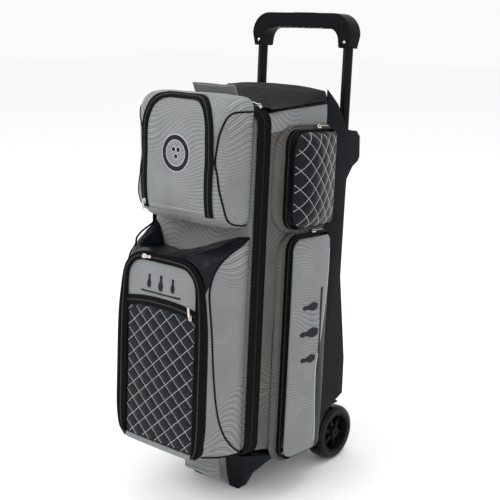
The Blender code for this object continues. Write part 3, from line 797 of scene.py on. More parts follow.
class Finish(Enum):
    """The finishes of the bag."""

    CLOTH = RibbedCloth("grey ribbed cloth", (0.33, 0.345, 0.345, 1), (0.125, 0.132, 0.135, 1))
    # painted shade: a darker, warmer copy of the grey cloth, for the body's flanks and the
    # side-pocket gussets that fall in shade
    PAINTED_SHADE_CLOTH = RibbedCloth("grey ribbed cloth in the shade", (0.14, 0.134, 0.124, 1),
                             (0.045, 0.043, 0.038, 1))
    WEBBING = GrainedSurface("black nylon tape", "nylon_black", (0.003, 0.003, 0.0035, 1),
                             (0.008, 0.008, 0.009, 1), 0.66, 900.0, 0.0004, cells=True, shine=0.03)
    COIL = GrainedSurface("black zip coil", "nylon_black", (0.004, 0.004, 0.005, 1),
                          (0.016, 0.016, 0.017, 1), 0.34, 700.0, 0.0003, shine=0.3)
    VINYL = GrainedSurface("black vinyl", "vinyl_black", (0.003, 0.0037, 0.005, 1),
                           (0.008, 0.0095, 0.013, 1), 0.32, 620.0, 0.0003, cells=True, coat=0.02,
                           shine=0.12)
    MESH = GrainedSurface("open black mesh", "mesh_black", (0.002, 0.002, 0.002, 1),
                          (0.022, 0.0225, 0.024, 1), 0.75, 330.0, 0.0016, cells=True)
    MOULDING = GrainedSurface("black moulding", "shell_plastic", (0.0035, 0.0042, 0.006, 1),
                              (0.006, 0.0075, 0.01, 1), 0.45, 750.0, 0.0003, shine=0.04)
    GRIP = GrainedSurface("soft black grip", "shell_plastic", (0.003, 0.0032, 0.004, 1),
                          (0.005, 0.0055, 0.007, 1), 0.36, 500.0, 0.0003, shine=0.06)
    TUBE = GrainedSurface("gloss black tube", "tube_black", (0.003, 0.003, 0.0035, 1),
                          (0.006, 0.006, 0.007, 1), 0.16, 200.0, 0.00005, coat=0.05, shine=0.08)
    URETHANE = GrainedSurface("gloss black urethane", "wheel_urethane", (0.003, 0.0032, 0.0036, 1),
                              (0.006, 0.0065, 0.007, 1), 0.18, 300.0, 0.0001, coat=0.05, shine=0.1)
    HUB = GrainedSurface("black wheel moulding", "shell_plastic", (0.003, 0.0035, 0.004, 1),
                         (0.008, 0.009, 0.01, 1), 0.35, 600.0, 0.0002, shine=0.06)
    METAL = GrainedSurface("plated zinc", "zip_metal", (0.5, 0.47, 0.42, 1),
                           (0.68, 0.65, 0.6, 1), 0.24, 160.0, 0.0002, metallic=1.0, shine=0.5)
    SILVER_THREAD = GrainedSurface("silver thread", "fabric_grey", (0.4, 0.41, 0.42, 1),
                                   (0.6, 0.61, 0.62, 1), 0.5, 900.0, 0.0002, sheen=0.1)
    BLACK_THREAD = GrainedSurface("black embroidery", "nylon_black", (0.004, 0.004, 0.007, 1),
                                  (0.014, 0.014, 0.02, 1), 0.42, 1200.0, 0.0006,
                                  stretch=(1.0, 1.0, 0.2))
    FOAM = GrainedSurface("dark foam", "foam", (0.03, 0.03, 0.033, 1),
                          (0.065, 0.065, 0.07, 1), 0.9, 520.0, 0.0008, cells=True)
    LINING = GrainedSurface("black lining", "lining", (0.006, 0.006, 0.007, 1),
                            (0.018, 0.018, 0.02, 1), 0.7, 800.0, 0.0003)


# ---- fitting pieces to the frame
@dataclass
class Workshop:
    """Turns shaped meshes into finished pieces on the frame's bodies."""

    space: BagSpace

    def lay_cloth(self, bm: Mesh) -> None:
        """Lays the cloth map, in metres, flat on whichever way each face looks."""
        layer = bm.loops.layers.uv.get(CLOTH_MAP) or bm.loops.layers.uv.new(CLOTH_MAP)
        bm.normal_update()
        for face in bm.faces:
            way = [abs(part) for part in face.normal]
            level = way[2] > 0.8
            for loop in face.loops:
                x, y, z = loop.vert.co
                loop[layer].uv = (x if way[1] > way[0] or level else y, y if level else z)

    def fit(self, name: str, bm: Mesh, body: str, finishes: Sequence[Finish],
            replaces: Sequence[str] = (),
            crease: float = 50.0) -> bpy.types.Object:
        """Makes a finished piece of a mesh drawn in the bag's axes.

        Args:
            name: the piece's name.
            bm: its mesh, which is used up.
            body: the frame's body that carries it.
            finishes: its materials, by material number.
            replaces: frame nodes that it stands for.
            crease: the fold in degrees past which an edge stays sharp.

        Returns:
            The finished object.
        """
        self.lay_cloth(bm)
        for face in bm.faces:
            face.smooth = True
        for edge in bm.edges:
            if len(edge.link_faces) == 2:
                edge.smooth = degrees(edge.calc_face_angle(0.0)) < crease
        mesh = bpy.data.meshes.new(name)
        bm.to_mesh(mesh)
        bm.free()
        mesh.transform(self.space.matrix)
        for finish in finishes:
            mesh.materials.append(made(finish.value))
        piece = in_scene(name, mesh)
        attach(piece, body)
        if replaces:
            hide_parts(*replaces)
        LOG.info("%s: %d faces on %s", name, len(mesh.polygons), body)
        return piece

    def copy_of(self, node: str, edge: float = 0.0012) -> Mesh:
        """A frame node's mesh in the bag's axes, merged and with its edges eased."""
        bm = bmesh.new()
        bm.from_mesh(frame["nodes"][node].data)
        bmesh.ops.transform(bm, matrix=self.space.matrix.inverted(), verts=bm.verts)
        bmesh.ops.remove_doubles(bm, verts=bm.verts, dist=2e-5)
        bmesh.ops.dissolve_limit(bm, angle_limit=radians(1.5), verts=bm.verts, edges=bm.edges)
        for face in bm.faces:
            face.material_index = 0
        soften(bm, edge, 3, 30.0)
        return bm


# ---- zips, piping, stitches
@dataclass
class Zip:
    """A length of zip: two tapes with a ribbed coil between them."""

    width: float = 0.02
    thick: float = 0.0014
    coil: float = 0.0017
    pitch: float = 0.0016

    def band(self, path: Sequence[Vector], ups: Vector | Sequence[Vector],
             closed: bool = False) -> Mesh:
        """The whole zip along a path: tapes on material 0, coil on material 1."""
        tapes = sweep(path, ribbon(self.width, self.thick), ups, closed)
        return merge(tapes, self.teeth(path, ups, closed))

    def teeth(self, path: Sequence[Vector], ups: Vector | Sequence[Vector],
              closed: bool = False) -> Mesh:
        """The coil alone, on material 1."""
        fine = even_path(path, self.pitch, closed)
        if not isinstance(ups, Vector):
            ups = [ups[min(int(i * len(path) / len(fine)), len(path) - 1)]
                   for i in range(len(fine))]
        base = self.thick * 0.9
        small = [(a, b * 0.55 + base) for a, b in circle(self.coil * 0.78, 6)]
        large = [(a, b * 0.75 + base) for a, b in circle(self.coil, 6)]
        return paint(sweep(fine, lambda step: large if step % 2 else small, ups, closed), 1)


@dataclass
class ZipSlider:
    """A plated slider with a bail and a long pull."""

    length: float = 0.011
    width: float = 0.009
    pull: float = 0.03

    def shaped(self, place: Iterable[float], outward: Iterable[float],
               along: Iterable[float]) -> Mesh:
        """The slider at a place.

        Args:
            place: the middle of the slider's foot.
            outward: the way that the zip faces.
            along: the way that the pull lies.

        Returns:
            The slider's mesh.
        """
        half, reach = self.width / 2, self.length / 2
        foot = block((-half, -reach, 0.0), (half, reach, 0.0042))
        round_along(foot, 2, half * 0.7, 4, lambda middle: middle.y < 0)
        soften(foot, 0.0007, 2)
        bail_path = smooth_path([(0, -reach * 0.6, 0.0035), (0, -reach * 0.2, 0.007),
                                 (0, reach * 0.5, 0.0066), (0, reach * 0.8, 0.0038)], 0.0015)
        bail = sweep(bail_path, circle(0.0011, 6), RIGHT)
        outline = frontal(-0.0028, 0.0028, reach * 0.2, reach + self.pull, 0.0024, segments=4)
        tab = plate(outline, Vector((0, 0.0016, 0)))
        bmesh.ops.rotate(tab, verts=tab.verts, cent=(0, 0, 0),
                         matrix=Matrix.Rotation(-pi / 2, 3, "X"))
        bmesh.ops.translate(tab, verts=tab.verts, vec=(0, 0, 0.0066))
        bmesh.ops.recalc_face_normals(tab, faces=tab.faces)
        soften(tab, 0.0005, 2)
        whole = merge(foot, bail, tab)
        outward, along = Vector(outward).normalized(), Vector(along).normalized()
        turn = Matrix((along.cross(outward), along, outward)).transposed().to_4x4()
        bmesh.ops.transform(whole, matrix=Matrix.Translation(Vector(place)) @ turn,
                            verts=whole.verts)
        return whole


@dataclass
class Stitching:
    """Rows of thread laid on a finished surface."""

    width: float = 0.0011
    length: float = 0.0042
    gap: float = 0.001

    def row(self, skin: Skin, path: Sequence[Vector], way: Vector) -> list[Mesh]:
        """Short threads along a path that is pushed onto a surface."""
        threads = []
        marks = even_path(path, self.length + self.gap)
        section = [(-self.width / 2, 0), (0, -self.width / 3), (self.width / 2, 0),
                   (0, self.width / 2)]
        for a, b in zip(marks, marks[1:]):
            ends = [skin.drop(a.lerp(b, share), way) for share in (0.08, 0.5, 0.92)]
            if None in ends or max(ends[0][0][i] - ends[2][0][i] for i in range(3)) > 0.02:
                continue
            spots = [spot + normal * lift for (spot, normal), lift
                     in zip(ends, (0.0001, 0.0005, 0.0001))]
            if (spots[0] - spots[2]).length < 0.0095:
                threads.append(sweep(spots, section, ends[1][1]))
        return threads


def diamonds(along: float, up: float, wide: float, tall: float) -> float:
    """Height of quilting between crossed seams, from 0 on a seam to 1."""
    first = abs(sin(pi * (along / wide + up / tall)))
    second = abs(sin(pi * (along / wide - up / tall)))
    return (first * second) ** 0.42


def diamond_lines(low: tuple[float, float], high: tuple[float, float], wide: float,
                  tall: float) -> list[tuple[tuple[float, float], tuple[float, float]]]:
    """Ends of the crossed seams that quilt a rectangle."""
    (a0, b0), (a1, b1) = low, high
    lines = []
    for way in (1, -1):
        sums = [a / wide + way * b / tall for a in (a0, a1) for b in (b0, b1)]
        for number in range(ceil(min(sums)), int(max(sums)) + 1):
            heights = sorted(way * tall * (number - a / wide) for a in (a0, a1))
            bottom, top = max(heights[0], b0), min(heights[1], b1)
            if top - bottom > 0.004:
                lines.append(tuple(((number - way * b / tall) * wide, b) for b in (bottom, top)))
    return lines


# ---- body
@dataclass
class Body:
    """The ball body: side and top fabric, its edge piping and the main zip's rear half."""

    half: float = 0.14
    corner: float = 0.03
    front: float = -0.1655
    tape_rear: float = -0.144
    rear: float = 0.0405
    wall: float = 0.0032
    lit: float = 0.772
    top: tuple = ((-0.185, 0.812), (-0.144, 0.8135), (0.037, 0.827), (0.11, 0.832))
    bottom: tuple = ((-0.185, 0.1), (-0.15, 0.0965), (-0.048, 0.07), (0.11, 0.066))

    def outline(self, y: float, grow: float = 0.0) -> list[Vector]:
        """The rounded outline that the main zip follows, grown outwards."""
        return frontal(-self.half - grow, self.half + grow, line_at(self.bottom, y) - grow,
                       line_at(self.top, y) + grow, self.corner + grow, y, 10)

    def squared(self, spot: Vector) -> None:
        """Lets the upper corners grow squarer behind the zip."""
        share = ease(spot.y, self.tape_rear - 0.004, -0.085) * 0.82
        reach = self.corner
        over = line_at(self.top, -0.144) - reach
        across = abs(spot.x) - (self.half - reach)
        if across > 0 and spot.z > over:
            rise = spot.z - over
            swell = max(across, rise) / max(hypot(across, rise), 1e-6)
            scale = 1 + (1 / max(swell, 0.5) - 1) * share
            spot.x = (self.half - reach + across * scale) * (1 if spot.x > 0 else -1)
            spot.z = over + rise * scale

    def shell(self) -> Mesh:
        """The fabric tube of the body with its give and a thin wall."""
        low, high = line_at(self.bottom, -0.144), line_at(self.top, -0.144)
        bm = block((-self.half, self.front, low), (self.half, self.rear, high))
        round_along(bm, 1, self.corner, 8)
        slice_up(bm, 0.009, (0, 2))
        slice_up(bm, 0.008, (1,))
        ends = [face for face in bm.faces if abs(face.normal.y) > 0.9]
        bmesh.ops.delete(bm, geom=ends, context="FACES")
        # painted light and shade: faces above `lit` take the lit grey cloth, the flank below it the
        # darker painted-shade copy
        for face in bm.faces:
            face.material_index = 2 if face.calc_center_median().z > self.lit else 0
        for vert in bm.verts:
            self.squared(vert.co)
            share = (vert.co.z - low) / (high - low)
            y = max(vert.co.y, -0.15)
            rise = line_at(self.top, y) - high
            drop = line_at(self.bottom, y) - low
            vert.co.z += rise * ease(share, 0.5, 0.95) + drop * (1 - ease(share, 0.02, 0.3))

        def give(spot: Vector, normal: Vector) -> float:
            """Slack of the cloth between zip and moulding."""
            free = ease(spot.y, self.tape_rear + 0.004, -0.11) * (1 - ease(spot.y, 0.0, 0.036))
            wave = drape_noise(Vector((spot.x, spot.y * 2.4, spot.z * 0.8)), 0.055, 3.0)
            return free * (0.0016 * wave - 0.001)
        displace(bm, give)
        for face in bm.faces:
            if abs(face.normal.z) > 0.72:
                face.material_index = 1
        return thicken(bm, self.wall)

    def top_piping(self, side: float) -> Mesh:
        """Black cord along the upper side edge, from the zip to the moulding."""
        path = [Vector((side * (self.half + 0.0002), y, line_at(self.top, y) - 0.0035))
                for y in (-0.142, -0.1, -0.05, 0.0, 0.04)]
        path[0].x -= side * 0.004
        path[0].z -= 0.002
        return sweep(smooth_path(path, 0.006), circle(0.0018), UP)

    def zip_half(self, near: float, far: float) -> Mesh:
        """One half of the main zip: tape, welt at its far edge, coil at its near edge."""
        middle = (near + far) / 2
        path = even_path(self.outline(middle, 0.0001), 0.008, True)
        ups = [self.facing(spot) for spot in path]
        width = abs(far - near)
        band = sweep(path, ribbon(width, 0.0014), ups, True)
        welt_path = even_path(self.outline(far + (near - far) * 0.09, 0.001), 0.008, True)
        welt = sweep(welt_path, circle(0.0019), BACK, True)
        fold_path = even_path(self.outline(near + (far - near) * 0.34, 0.0012), 0.008, True)
        fold = sweep(fold_path, circle(0.0011, 6), BACK, True)
        coil = Zip(coil=0.0015).teeth(even_path(self.outline(near + (far - near) * 0.07, 0.0004),
                                                0.004, True), BACK, True)
        return merge(band, welt, fold, coil)

    def facing(self, spot: Vector) -> Vector:
        """Which way the outline faces at one of its places."""
        low, high = line_at(self.bottom, spot.y), line_at(self.top, spot.y)
        x = spot.x - max(min(spot.x, self.half - self.corner), self.corner - self.half)
        z = spot.z - max(min(spot.z, high - self.corner), low + self.corner)
        return Vector((x, 0, z)).normalized()

    def build(self, shop: Workshop) -> None:
        """Fits the body's pieces."""
        shop.fit("body_shell", self.shell(), "bag",
                 (Finish.PAINTED_SHADE_CLOTH, Finish.WEBBING, Finish.CLOTH),
                 ("side_panel_left", "side_panel_right", "top_panel", "bottom_panel"))
        for name, side in SIDES.items():
            shop.fit("top_edge_piping_" + name, self.top_piping(side), "bag", (Finish.WEBBING,))
        shop.fit("main_zip_body_half", self.zip_half(-0.1652, -0.1447), "bag",
                 (Finish.WEBBING, Finish.COIL), ("body_zip_tape",))
        shop.fit("main_zip_door_half", self.zip_half(-0.1648, -0.1853), "front_door",
                 (Finish.WEBBING, Finish.COIL), ("door_zip_tape",))
        slider = ZipSlider()
        high = line_at(self.top, self.tape_rear) + 0.003
        shop.fit("main_zip_slider_top",
                 slider.shaped((0.121, -0.16, high + 0.0002), (0.22, 0, 1), (-1, 0.05, 0.22)),
                 "bag", (Finish.METAL,), ("main_slider_top",))
        shop.fit("main_zip_slider_corner",
                 slider.shaped((0.096, -0.168, high - 0.0004), (0, 0, 1), (-1, 0.1, 0)),
                 "bag", (Finish.METAL,), ("main_slider_side",))


@dataclass
class Door:
    """The padded main door that the front pockets are sewn to."""

    front: float = -0.185
    rear: float = -0.1658

    def pad(self, body: Body) -> Mesh:
        """The door's pad with soft folds between its pockets."""
        bm = block((-0.1365, self.front + 0.001, 0.104), (0.1365, self.rear - 0.001, 0.8085))
        round_along(bm, 1, body.corner - 0.003, 8)
        pad = inflated(bm, 0.0022, lambda spot: 1 - ease(0.136 - abs(spot.x), 0.0, 0.02) * 0.9,
                       0.006, 2.0)

        def folds(spot: Vector, normal: Vector) -> float:
            """Creases that fan out between the pockets."""
            if normal.y > -0.5:
                return 0.0
            fan = sin(spot.x * 62 + spot.z * 95 + 2.0 * drape_noise(spot, 0.05, 1.0))
            near = exp(-((spot.z - 0.565) / 0.035) ** 2)
            return 0.0011 * fan * near
        return displace(pad, folds)

    def build(self, shop: Workshop, body: Body) -> None:
        """Fits the door's pad."""
        shop.fit("door_pad", self.pad(body), "front_door", (Finish.CLOTH,), ("door_panel",))


# ---- shoe compartment
@dataclass
class ShoeCompartment:
    """The arched compartment that drops open: gusset, vinyl shoulder and quilted front."""

    bottom: float = 0.112
    front: float = -0.294
    gusset_front: float = -0.2876
    rear: float = -0.1858
    wall: float = 0.0026
    wide: float = 0.038
    tall: float = 0.034
    crown: float = 0.4595
    side_seam: tuple = ((-0.1862, 0.561), (-0.2, 0.5535), (-0.238, 0.536), (-0.268, 0.507),
                        (-0.28, 0.47), (-0.2815, 0.43), (-0.279, 0.372), (-0.274, 0.305),
                        (-0.262, 0.223), (-0.244, 0.171), (-0.215, 0.133), (-0.1862, 0.111))
    rim: tuple = ((0.095, 0.118, 0.004), (0.101, 0.124, 0.011), (0.1068, 0.136, 0.0205),
                  (0.1095, 0.16, 0.026), (0.1107, 0.19, 0.0285), (0.1107, 0.28, 0.0285),
                  (0.1105, 0.345, 0.028), (0.1095, 0.39, 0.026), (0.1072, 0.426, 0.022),
                  (0.1042, 0.4595, 0.017), (0.0985, 0.4815, 0.015), (0.0844, 0.499, 0.0142),
                  (0.0648, 0.5092, 0.0142), (0.03, 0.5118, 0.015), (0.0, 0.512, 0.0155))
    flank: tuple = ((0.112, 0.095), (0.124, 0.1065), (0.136, 0.117), (0.16, 0.1225),
                    (0.19, 0.125), (0.345, 0.1245), (0.39, 0.1225), (0.426, 0.1182),
                    (0.4595, 0.1127))
    ridge: tuple = ((-0.2876, 0.4595), (-0.28, 0.476), (-0.268, 0.507), (-0.238, 0.536),
                    (-0.2, 0.5535), (-0.1858, 0.563))
    hollow: tuple = ((-0.131, 0.566), (-0.116, 0.552), (-0.104, 0.514), (-0.05, 0.509),
                     (0.0, 0.522), (0.034, 0.536), (0.073, 0.55), (0.104, 0.5606),
                     (0.131, 0.566))

    def rim_line(self, y: float, step: float = 0.008) -> tuple[list[Vector], list[float]]:
        """The middle of the front's border from foot to foot, and its width at each place."""
        right = [Vector((x, width, z)) for x, z, width in self.rim]
        left = [Vector((-spot.x, spot.y, spot.z)) for spot in reversed(right[:-1])]
        line = even_path(smooth_path(right + left, 0.004), step)
        return [Vector((spot.x, y, spot.z)) for spot in line], [spot.y for spot in line]

    def front_outline(self, inset: float, y: float, step: float = 0.008) -> list[Vector]:
        """The outline of the compartment's front, drawn in by an inset."""
        line, widths = self.rim_line(y, 0.004)
        edge = []
        for i, spot in enumerate(line):
            along = line[min(i + 1, len(line) - 1)] - line[max(i - 1, 0)]
            outward = along.cross(FORWARD).normalized()
            edge.append(spot + outward * (widths[i] / 2 - inset))
        low = self.bottom + 0.0015 + inset
        foot = [Vector((x, y, low)) for x in (-0.088, -0.045, 0.0, 0.045, 0.088)]
        return even_path([spot for spot in edge if spot.z > low] + foot, step, True)

    def edge_at(self, turn: float) -> tuple[float, float]:
        """A place on the front's outer edge, from the middle of the foot to the crown."""
        if turn < 0.16:
            return 0.093 * turn / 0.16, self.bottom + 0.0015
        if turn < 0.24:
            angle = pi / 2 * (turn - 0.16) / 0.08
            return 0.093 + 0.03 * sin(angle), self.bottom + 0.0015 + 0.037 * (1 - cos(angle))
        if turn < 0.62:
            height = 0.1505 + (self.crown - 0.1505) * (turn - 0.24) / 0.38
            return line_at(self.flank, height), height
        share = (turn - 0.62) / 0.38
        angle = pi / 2 * min(share / 0.645, 1.0)
        return (0.0515 * min(1.0, (1 - share) / 0.355) + 0.0605 * cos(angle),
                self.crown + 0.0602 * sin(angle))

    def section(self, share: float, along: float) -> Vector:
        """A place on the gusset: along runs round the section, share from rear to front."""
        y = self.rear + (self.gusset_front - self.rear) * share
        low = line_at(((-0.2876, 0.114), (-0.1858, 0.104)), y)
        turn = along * 2 if along < 0.5 else (1 - along) * 2
        sign = 1 if along < 0.5 else -1
        close = share ** 3
        fx, fz = self.edge_at(turn)
        top = line_at(self.ridge, y) - (0.013 * sin(pi * share) if sign < 0 else 0.0)
        if turn < 0.16:
            x, z = 0.117 * turn / 0.16, low
        elif turn < 0.24:
            angle = pi / 2 * (turn - 0.16) / 0.08
            x, z = 0.117 + 0.014 * sin(angle), low + 0.014 * (1 - cos(angle))
        elif turn < 0.62:
            x, z = 0.131, low + 0.014 + (top - low - 0.014) * (turn - 0.24) / 0.38
        else:
            lift = (turn - 0.62) / 0.38
            x = 0.131 * cos(pi / 2 * lift)
            deep = line_at(self.hollow, sign * x)
            sag = deep + (fz - deep) * share
            stand = top - (0.566 + (self.crown - 0.566) * share)
            return Vector((sign * (x + (fx - x) * close), y, sag + stand * (1 - lift) ** 2.2))
        return Vector((sign * (x + (fx - x) * close), y, z + (fz - z) * close))

    def gusset(self) -> Mesh:
        """The walls of the compartment between the door and its front."""
        bm = formed(200, 26, lambda u, v: self.section(v, u), lambda u, v: int(0.31 < u < 0.69))
        bmesh.ops.recalc_face_normals(bm, faces=bm.faces)
        if sum(face.normal.z for face in bm.faces if face.calc_center_median().z > 0.5) < 0:
            bmesh.ops.reverse_faces(bm, faces=bm.faces)

        def puff(spot: Vector, normal: Vector) -> float:
            """Fullness of the side panels and slack in the vinyl."""
            if abs(normal.x) > 0.7 and spot.z < line_at(self.ridge, spot.y) - 0.004:
                inset = min((spot.y - self.seam_depth(spot.z)) / 0.045, (self.rear - spot.y) / 0.03)
                full = ease(inset) * ease(spot.z, 0.12, 0.2)
                wave = drape_noise(Vector((spot.x, spot.y, spot.z * 0.7)), 0.05, 5.0)
                return full * (0.0045 + 0.0016 * wave)
            slack = ease(spot.z, 0.47, 0.53) * ease(self.rear - spot.y, 0.0, 0.02)
            slack *= ease(spot.y - self.gusset_front, 0.0, 0.02)
            return slack * (0.0032 * drape_noise(Vector((spot.x * 1.6, spot.y, spot.z)), 0.04, 9.0))
        displace(bm, puff)
        return thicken(bm, self.wall)

    def seam_depth(self, height: float) -> float:
        """Depth of the side seam's front run at a height."""
        line = sorted(((z, y) for y, z in self.side_seam if y < -0.2), key=lambda spot: spot[0])
        return line_at(line, height)

    def side_piping(self, side: float, skin: Skin) -> Mesh:
        """Black piping round a side panel."""
        marks = smooth_path([(0.2 * side, y, z) for y, z in self.side_seam], 0.006)
        path = []
        for spot in marks:
            found = skin.drop(spot, Vector((-side, 0, 0)))
            near = found and found[0].x * side > 0.1
            share = (spot.y - self.rear) / (self.gusset_front - self.rear)
            plain = 0.131 + (line_at(self.flank, spot.z) - 0.131) * share ** 3
            path.append(found[0] if near else Vector((plain * side, spot.y, spot.z)))
        path = eased_path(path)
        along = 0.1 if side > 0 else 0.9
        low = [self.section(i / 24, along) + RIGHT * side * 0.0006 for i in range(25)]
        return merge(sweep(path, circle(0.0021), RIGHT), sweep(low, circle(0.0022), UP))

    def front_pad(self) -> Mesh:
        """The stuffed front: cloth head on material 0, quilted vinyl on material 1."""
        bm = plate(self.front_outline(0.004, self.front - 0.0005, 0.01), Vector((0, 0.0055, 0)))
        pad = inflated(bm, 0.004, lambda spot: 1 - 0.92 * ease(self.depth_in(spot), 0.018, 0.06),
                       0.0045, 3.0)

        def quilting(spot: Vector, normal: Vector) -> float:
            """Diamonds below the pocket's zip, a soft hem at the foot."""
            if normal.y > -0.4:
                return 0.0
            inside = min(ease(0.0965 - abs(spot.x), -0.002, 0.01), ease(spot.z, 0.12, 0.132))
            if spot.z < self.zip_height(spot.x):
                return inside * 0.0026 * diamonds(spot.x, spot.z, self.wide, self.tall)
            return inside * 0.0008 * drape_noise(spot, 0.06, 4.0)
        displace(pad, quilting)
        for face in pad.faces:
            middle = face.calc_center_median()
            low = middle.z < self.zip_height(middle.x)
            face.material_index = 1 if low and middle.y < self.front + 0.001 else 0
        return pad

    def depth_in(self, spot: Vector) -> float:
        """How far a place lies inside the front's outline."""
        over = spot.z - self.crown
        if over > 0:
            return max(0.06 - hypot(max(abs(spot.x) - 0.0515, 0.0), over), 0.0)
        return max(min(line_at(self.flank, spot.z) - abs(spot.x), spot.z - self.bottom), 0.0)

    def zip_height(self, x: float) -> float:
        """Height of the flat pocket's zip, which arches a little."""
        return 0.4215 - 0.0095 * (x / 0.095) ** 2

    def border(self) -> Mesh:
        """The black band round the front: tape, welts and coil."""
        out = FORWARD
        path, widths = self.rim_line(self.front - 0.0004)

        def tape(step: int) -> list[tuple[float, float]]:
            """The tape's cross-section, rolled back at its outer edge."""
            half = widths[step] / 2
            return [(half + 0.0006, -0.004), (half, 0.0), (half * 0.8, 0.0024),
                    (half * 0.3, 0.0034), (-half * 0.6, 0.0036), (-half * 0.92, 0.0028),
                    (-half, 0.0006), (-half, -0.003)]

        def cord(across: float, lift: float, radius: float) -> Mesh:
            """A cord along the tape, so far across it from -1 to 1."""
            return sweep(path, lambda step: [(a + across * widths[step] / 2, b + lift)
                                             for a, b in circle(radius, 8)], out)
        line, _ = self.rim_line(self.front - 0.0034, 0.004)
        coil = Zip(coil=0.0016).teeth(line, out)
        return merge(sweep(path, tape, out), cord(0.94, 0.0004, 0.0021), cord(0.52, 0.0032, 0.0012),
                     cord(-0.5, 0.0036, 0.0011), cord(-0.92, 0.003, 0.0014), coil)

    def threads(self, skin: Skin) -> Mesh:
        """Silver stitches along the quilting."""
        stitching = Stitching()
        rows = []
        for start, end in diamond_lines((-0.0965, 0.124), (0.0965, 0.424), self.wide, self.tall):
            marks = [Vector((x, AHEAD, z)) for x, z in straight(start, end, 40)]
            kept = [mark for mark in marks if mark.z < self.zip_height(mark.x) - 0.012
                    and abs(mark.x) < 0.0955 and mark.z > 0.1255]
            if len(kept) > 1:
                rows += stitching.row(skin, kept, BACK)
        return merge(*rows)

    def pocket_zip(self, skin: Skin) -> Mesh:
        """The flat pocket's zip across the front."""
        path = []
        for i in range(41):
            x = -0.097 + 0.194 * i / 40
            spot, _ = skin.drop(Vector((x, AHEAD, self.zip_height(x))), BACK)
            path.append(spot + BACK * 0.0006)
        return Zip(width=0.021, thick=0.0028).band(path, FORWARD)

    def hem(self) -> Mesh:
        """The grey welt under the front."""
        deep, out = self.front + 0.001, self.front - 0.0005
        path = smooth_path([(-0.099, deep, 0.1225), (-0.084, out, 0.118),
                            (0.084, out, 0.118), (0.099, deep, 0.1225)], 0.006)
        return sweep(path, [(a * 0.7, b) for a, b in circle(0.0058, 12)], UP)

    def build(self, shop: Workshop) -> None:
        """Fits the compartment."""
        gusset = self.gusset()
        skin = Skin.of(gusset)
        piping = merge(*(self.side_piping(side, skin) for side in SIDES.values()))
        shop.fit("shoe_walls", gusset, "front_door", (Finish.CLOTH, Finish.VINYL),
                 ("shoe_gusset",))
        shop.fit("shoe_wall_piping", piping, "front_door", (Finish.WEBBING,))
        pad = self.front_pad()
        skin = Skin.of(pad)
        threads, pocket_zip = self.threads(skin), self.pocket_zip(skin)
        badge = Badge().pin_row(skin, Vector((-0.002, AHEAD, 0.462)), RIGHT, UP, BACK, 0.11)
        shop.fit("shoe_front_pad", pad, "shoe_door", (Finish.CLOTH, Finish.VINYL),
                 ("shoe_door_panel",))
        shop.fit("shoe_front_stitching", threads, "shoe_door", (Finish.SILVER_THREAD,))
        shop.fit("shoe_front_badge", badge, "shoe_door", (Finish.BLACK_THREAD,))
        shop.fit("flat_pocket_zip", pocket_zip, "shoe_door", (Finish.WEBBING, Finish.COIL))
        shop.fit("shoe_front_border", self.border(), "shoe_door", (Finish.WEBBING, Finish.COIL))
        shop.fit("shoe_front_hem", self.hem(), "shoe_door", (Finish.CLOTH,))
        slider = ZipSlider(pull=0.017)
        x = 0.089
        shop.fit("flat_pocket_zip_slider",
                 slider.shaped((x, self.front - 0.0075, self.zip_height(x) - 0.003), (0, -1, 0),
                               (-0.15, 0, 1)),
                 "shoe_door", (Finish.METAL,), ("flat_pocket_slider",))
        shop.fit("shoe_zip_slider",
                 slider.shaped((-0.046, self.front - 0.004, 0.5115), (0, -1, 0.15), (1, 0, 0.04)),
                 "shoe_door", (Finish.METAL,), ("shoe_slider",))


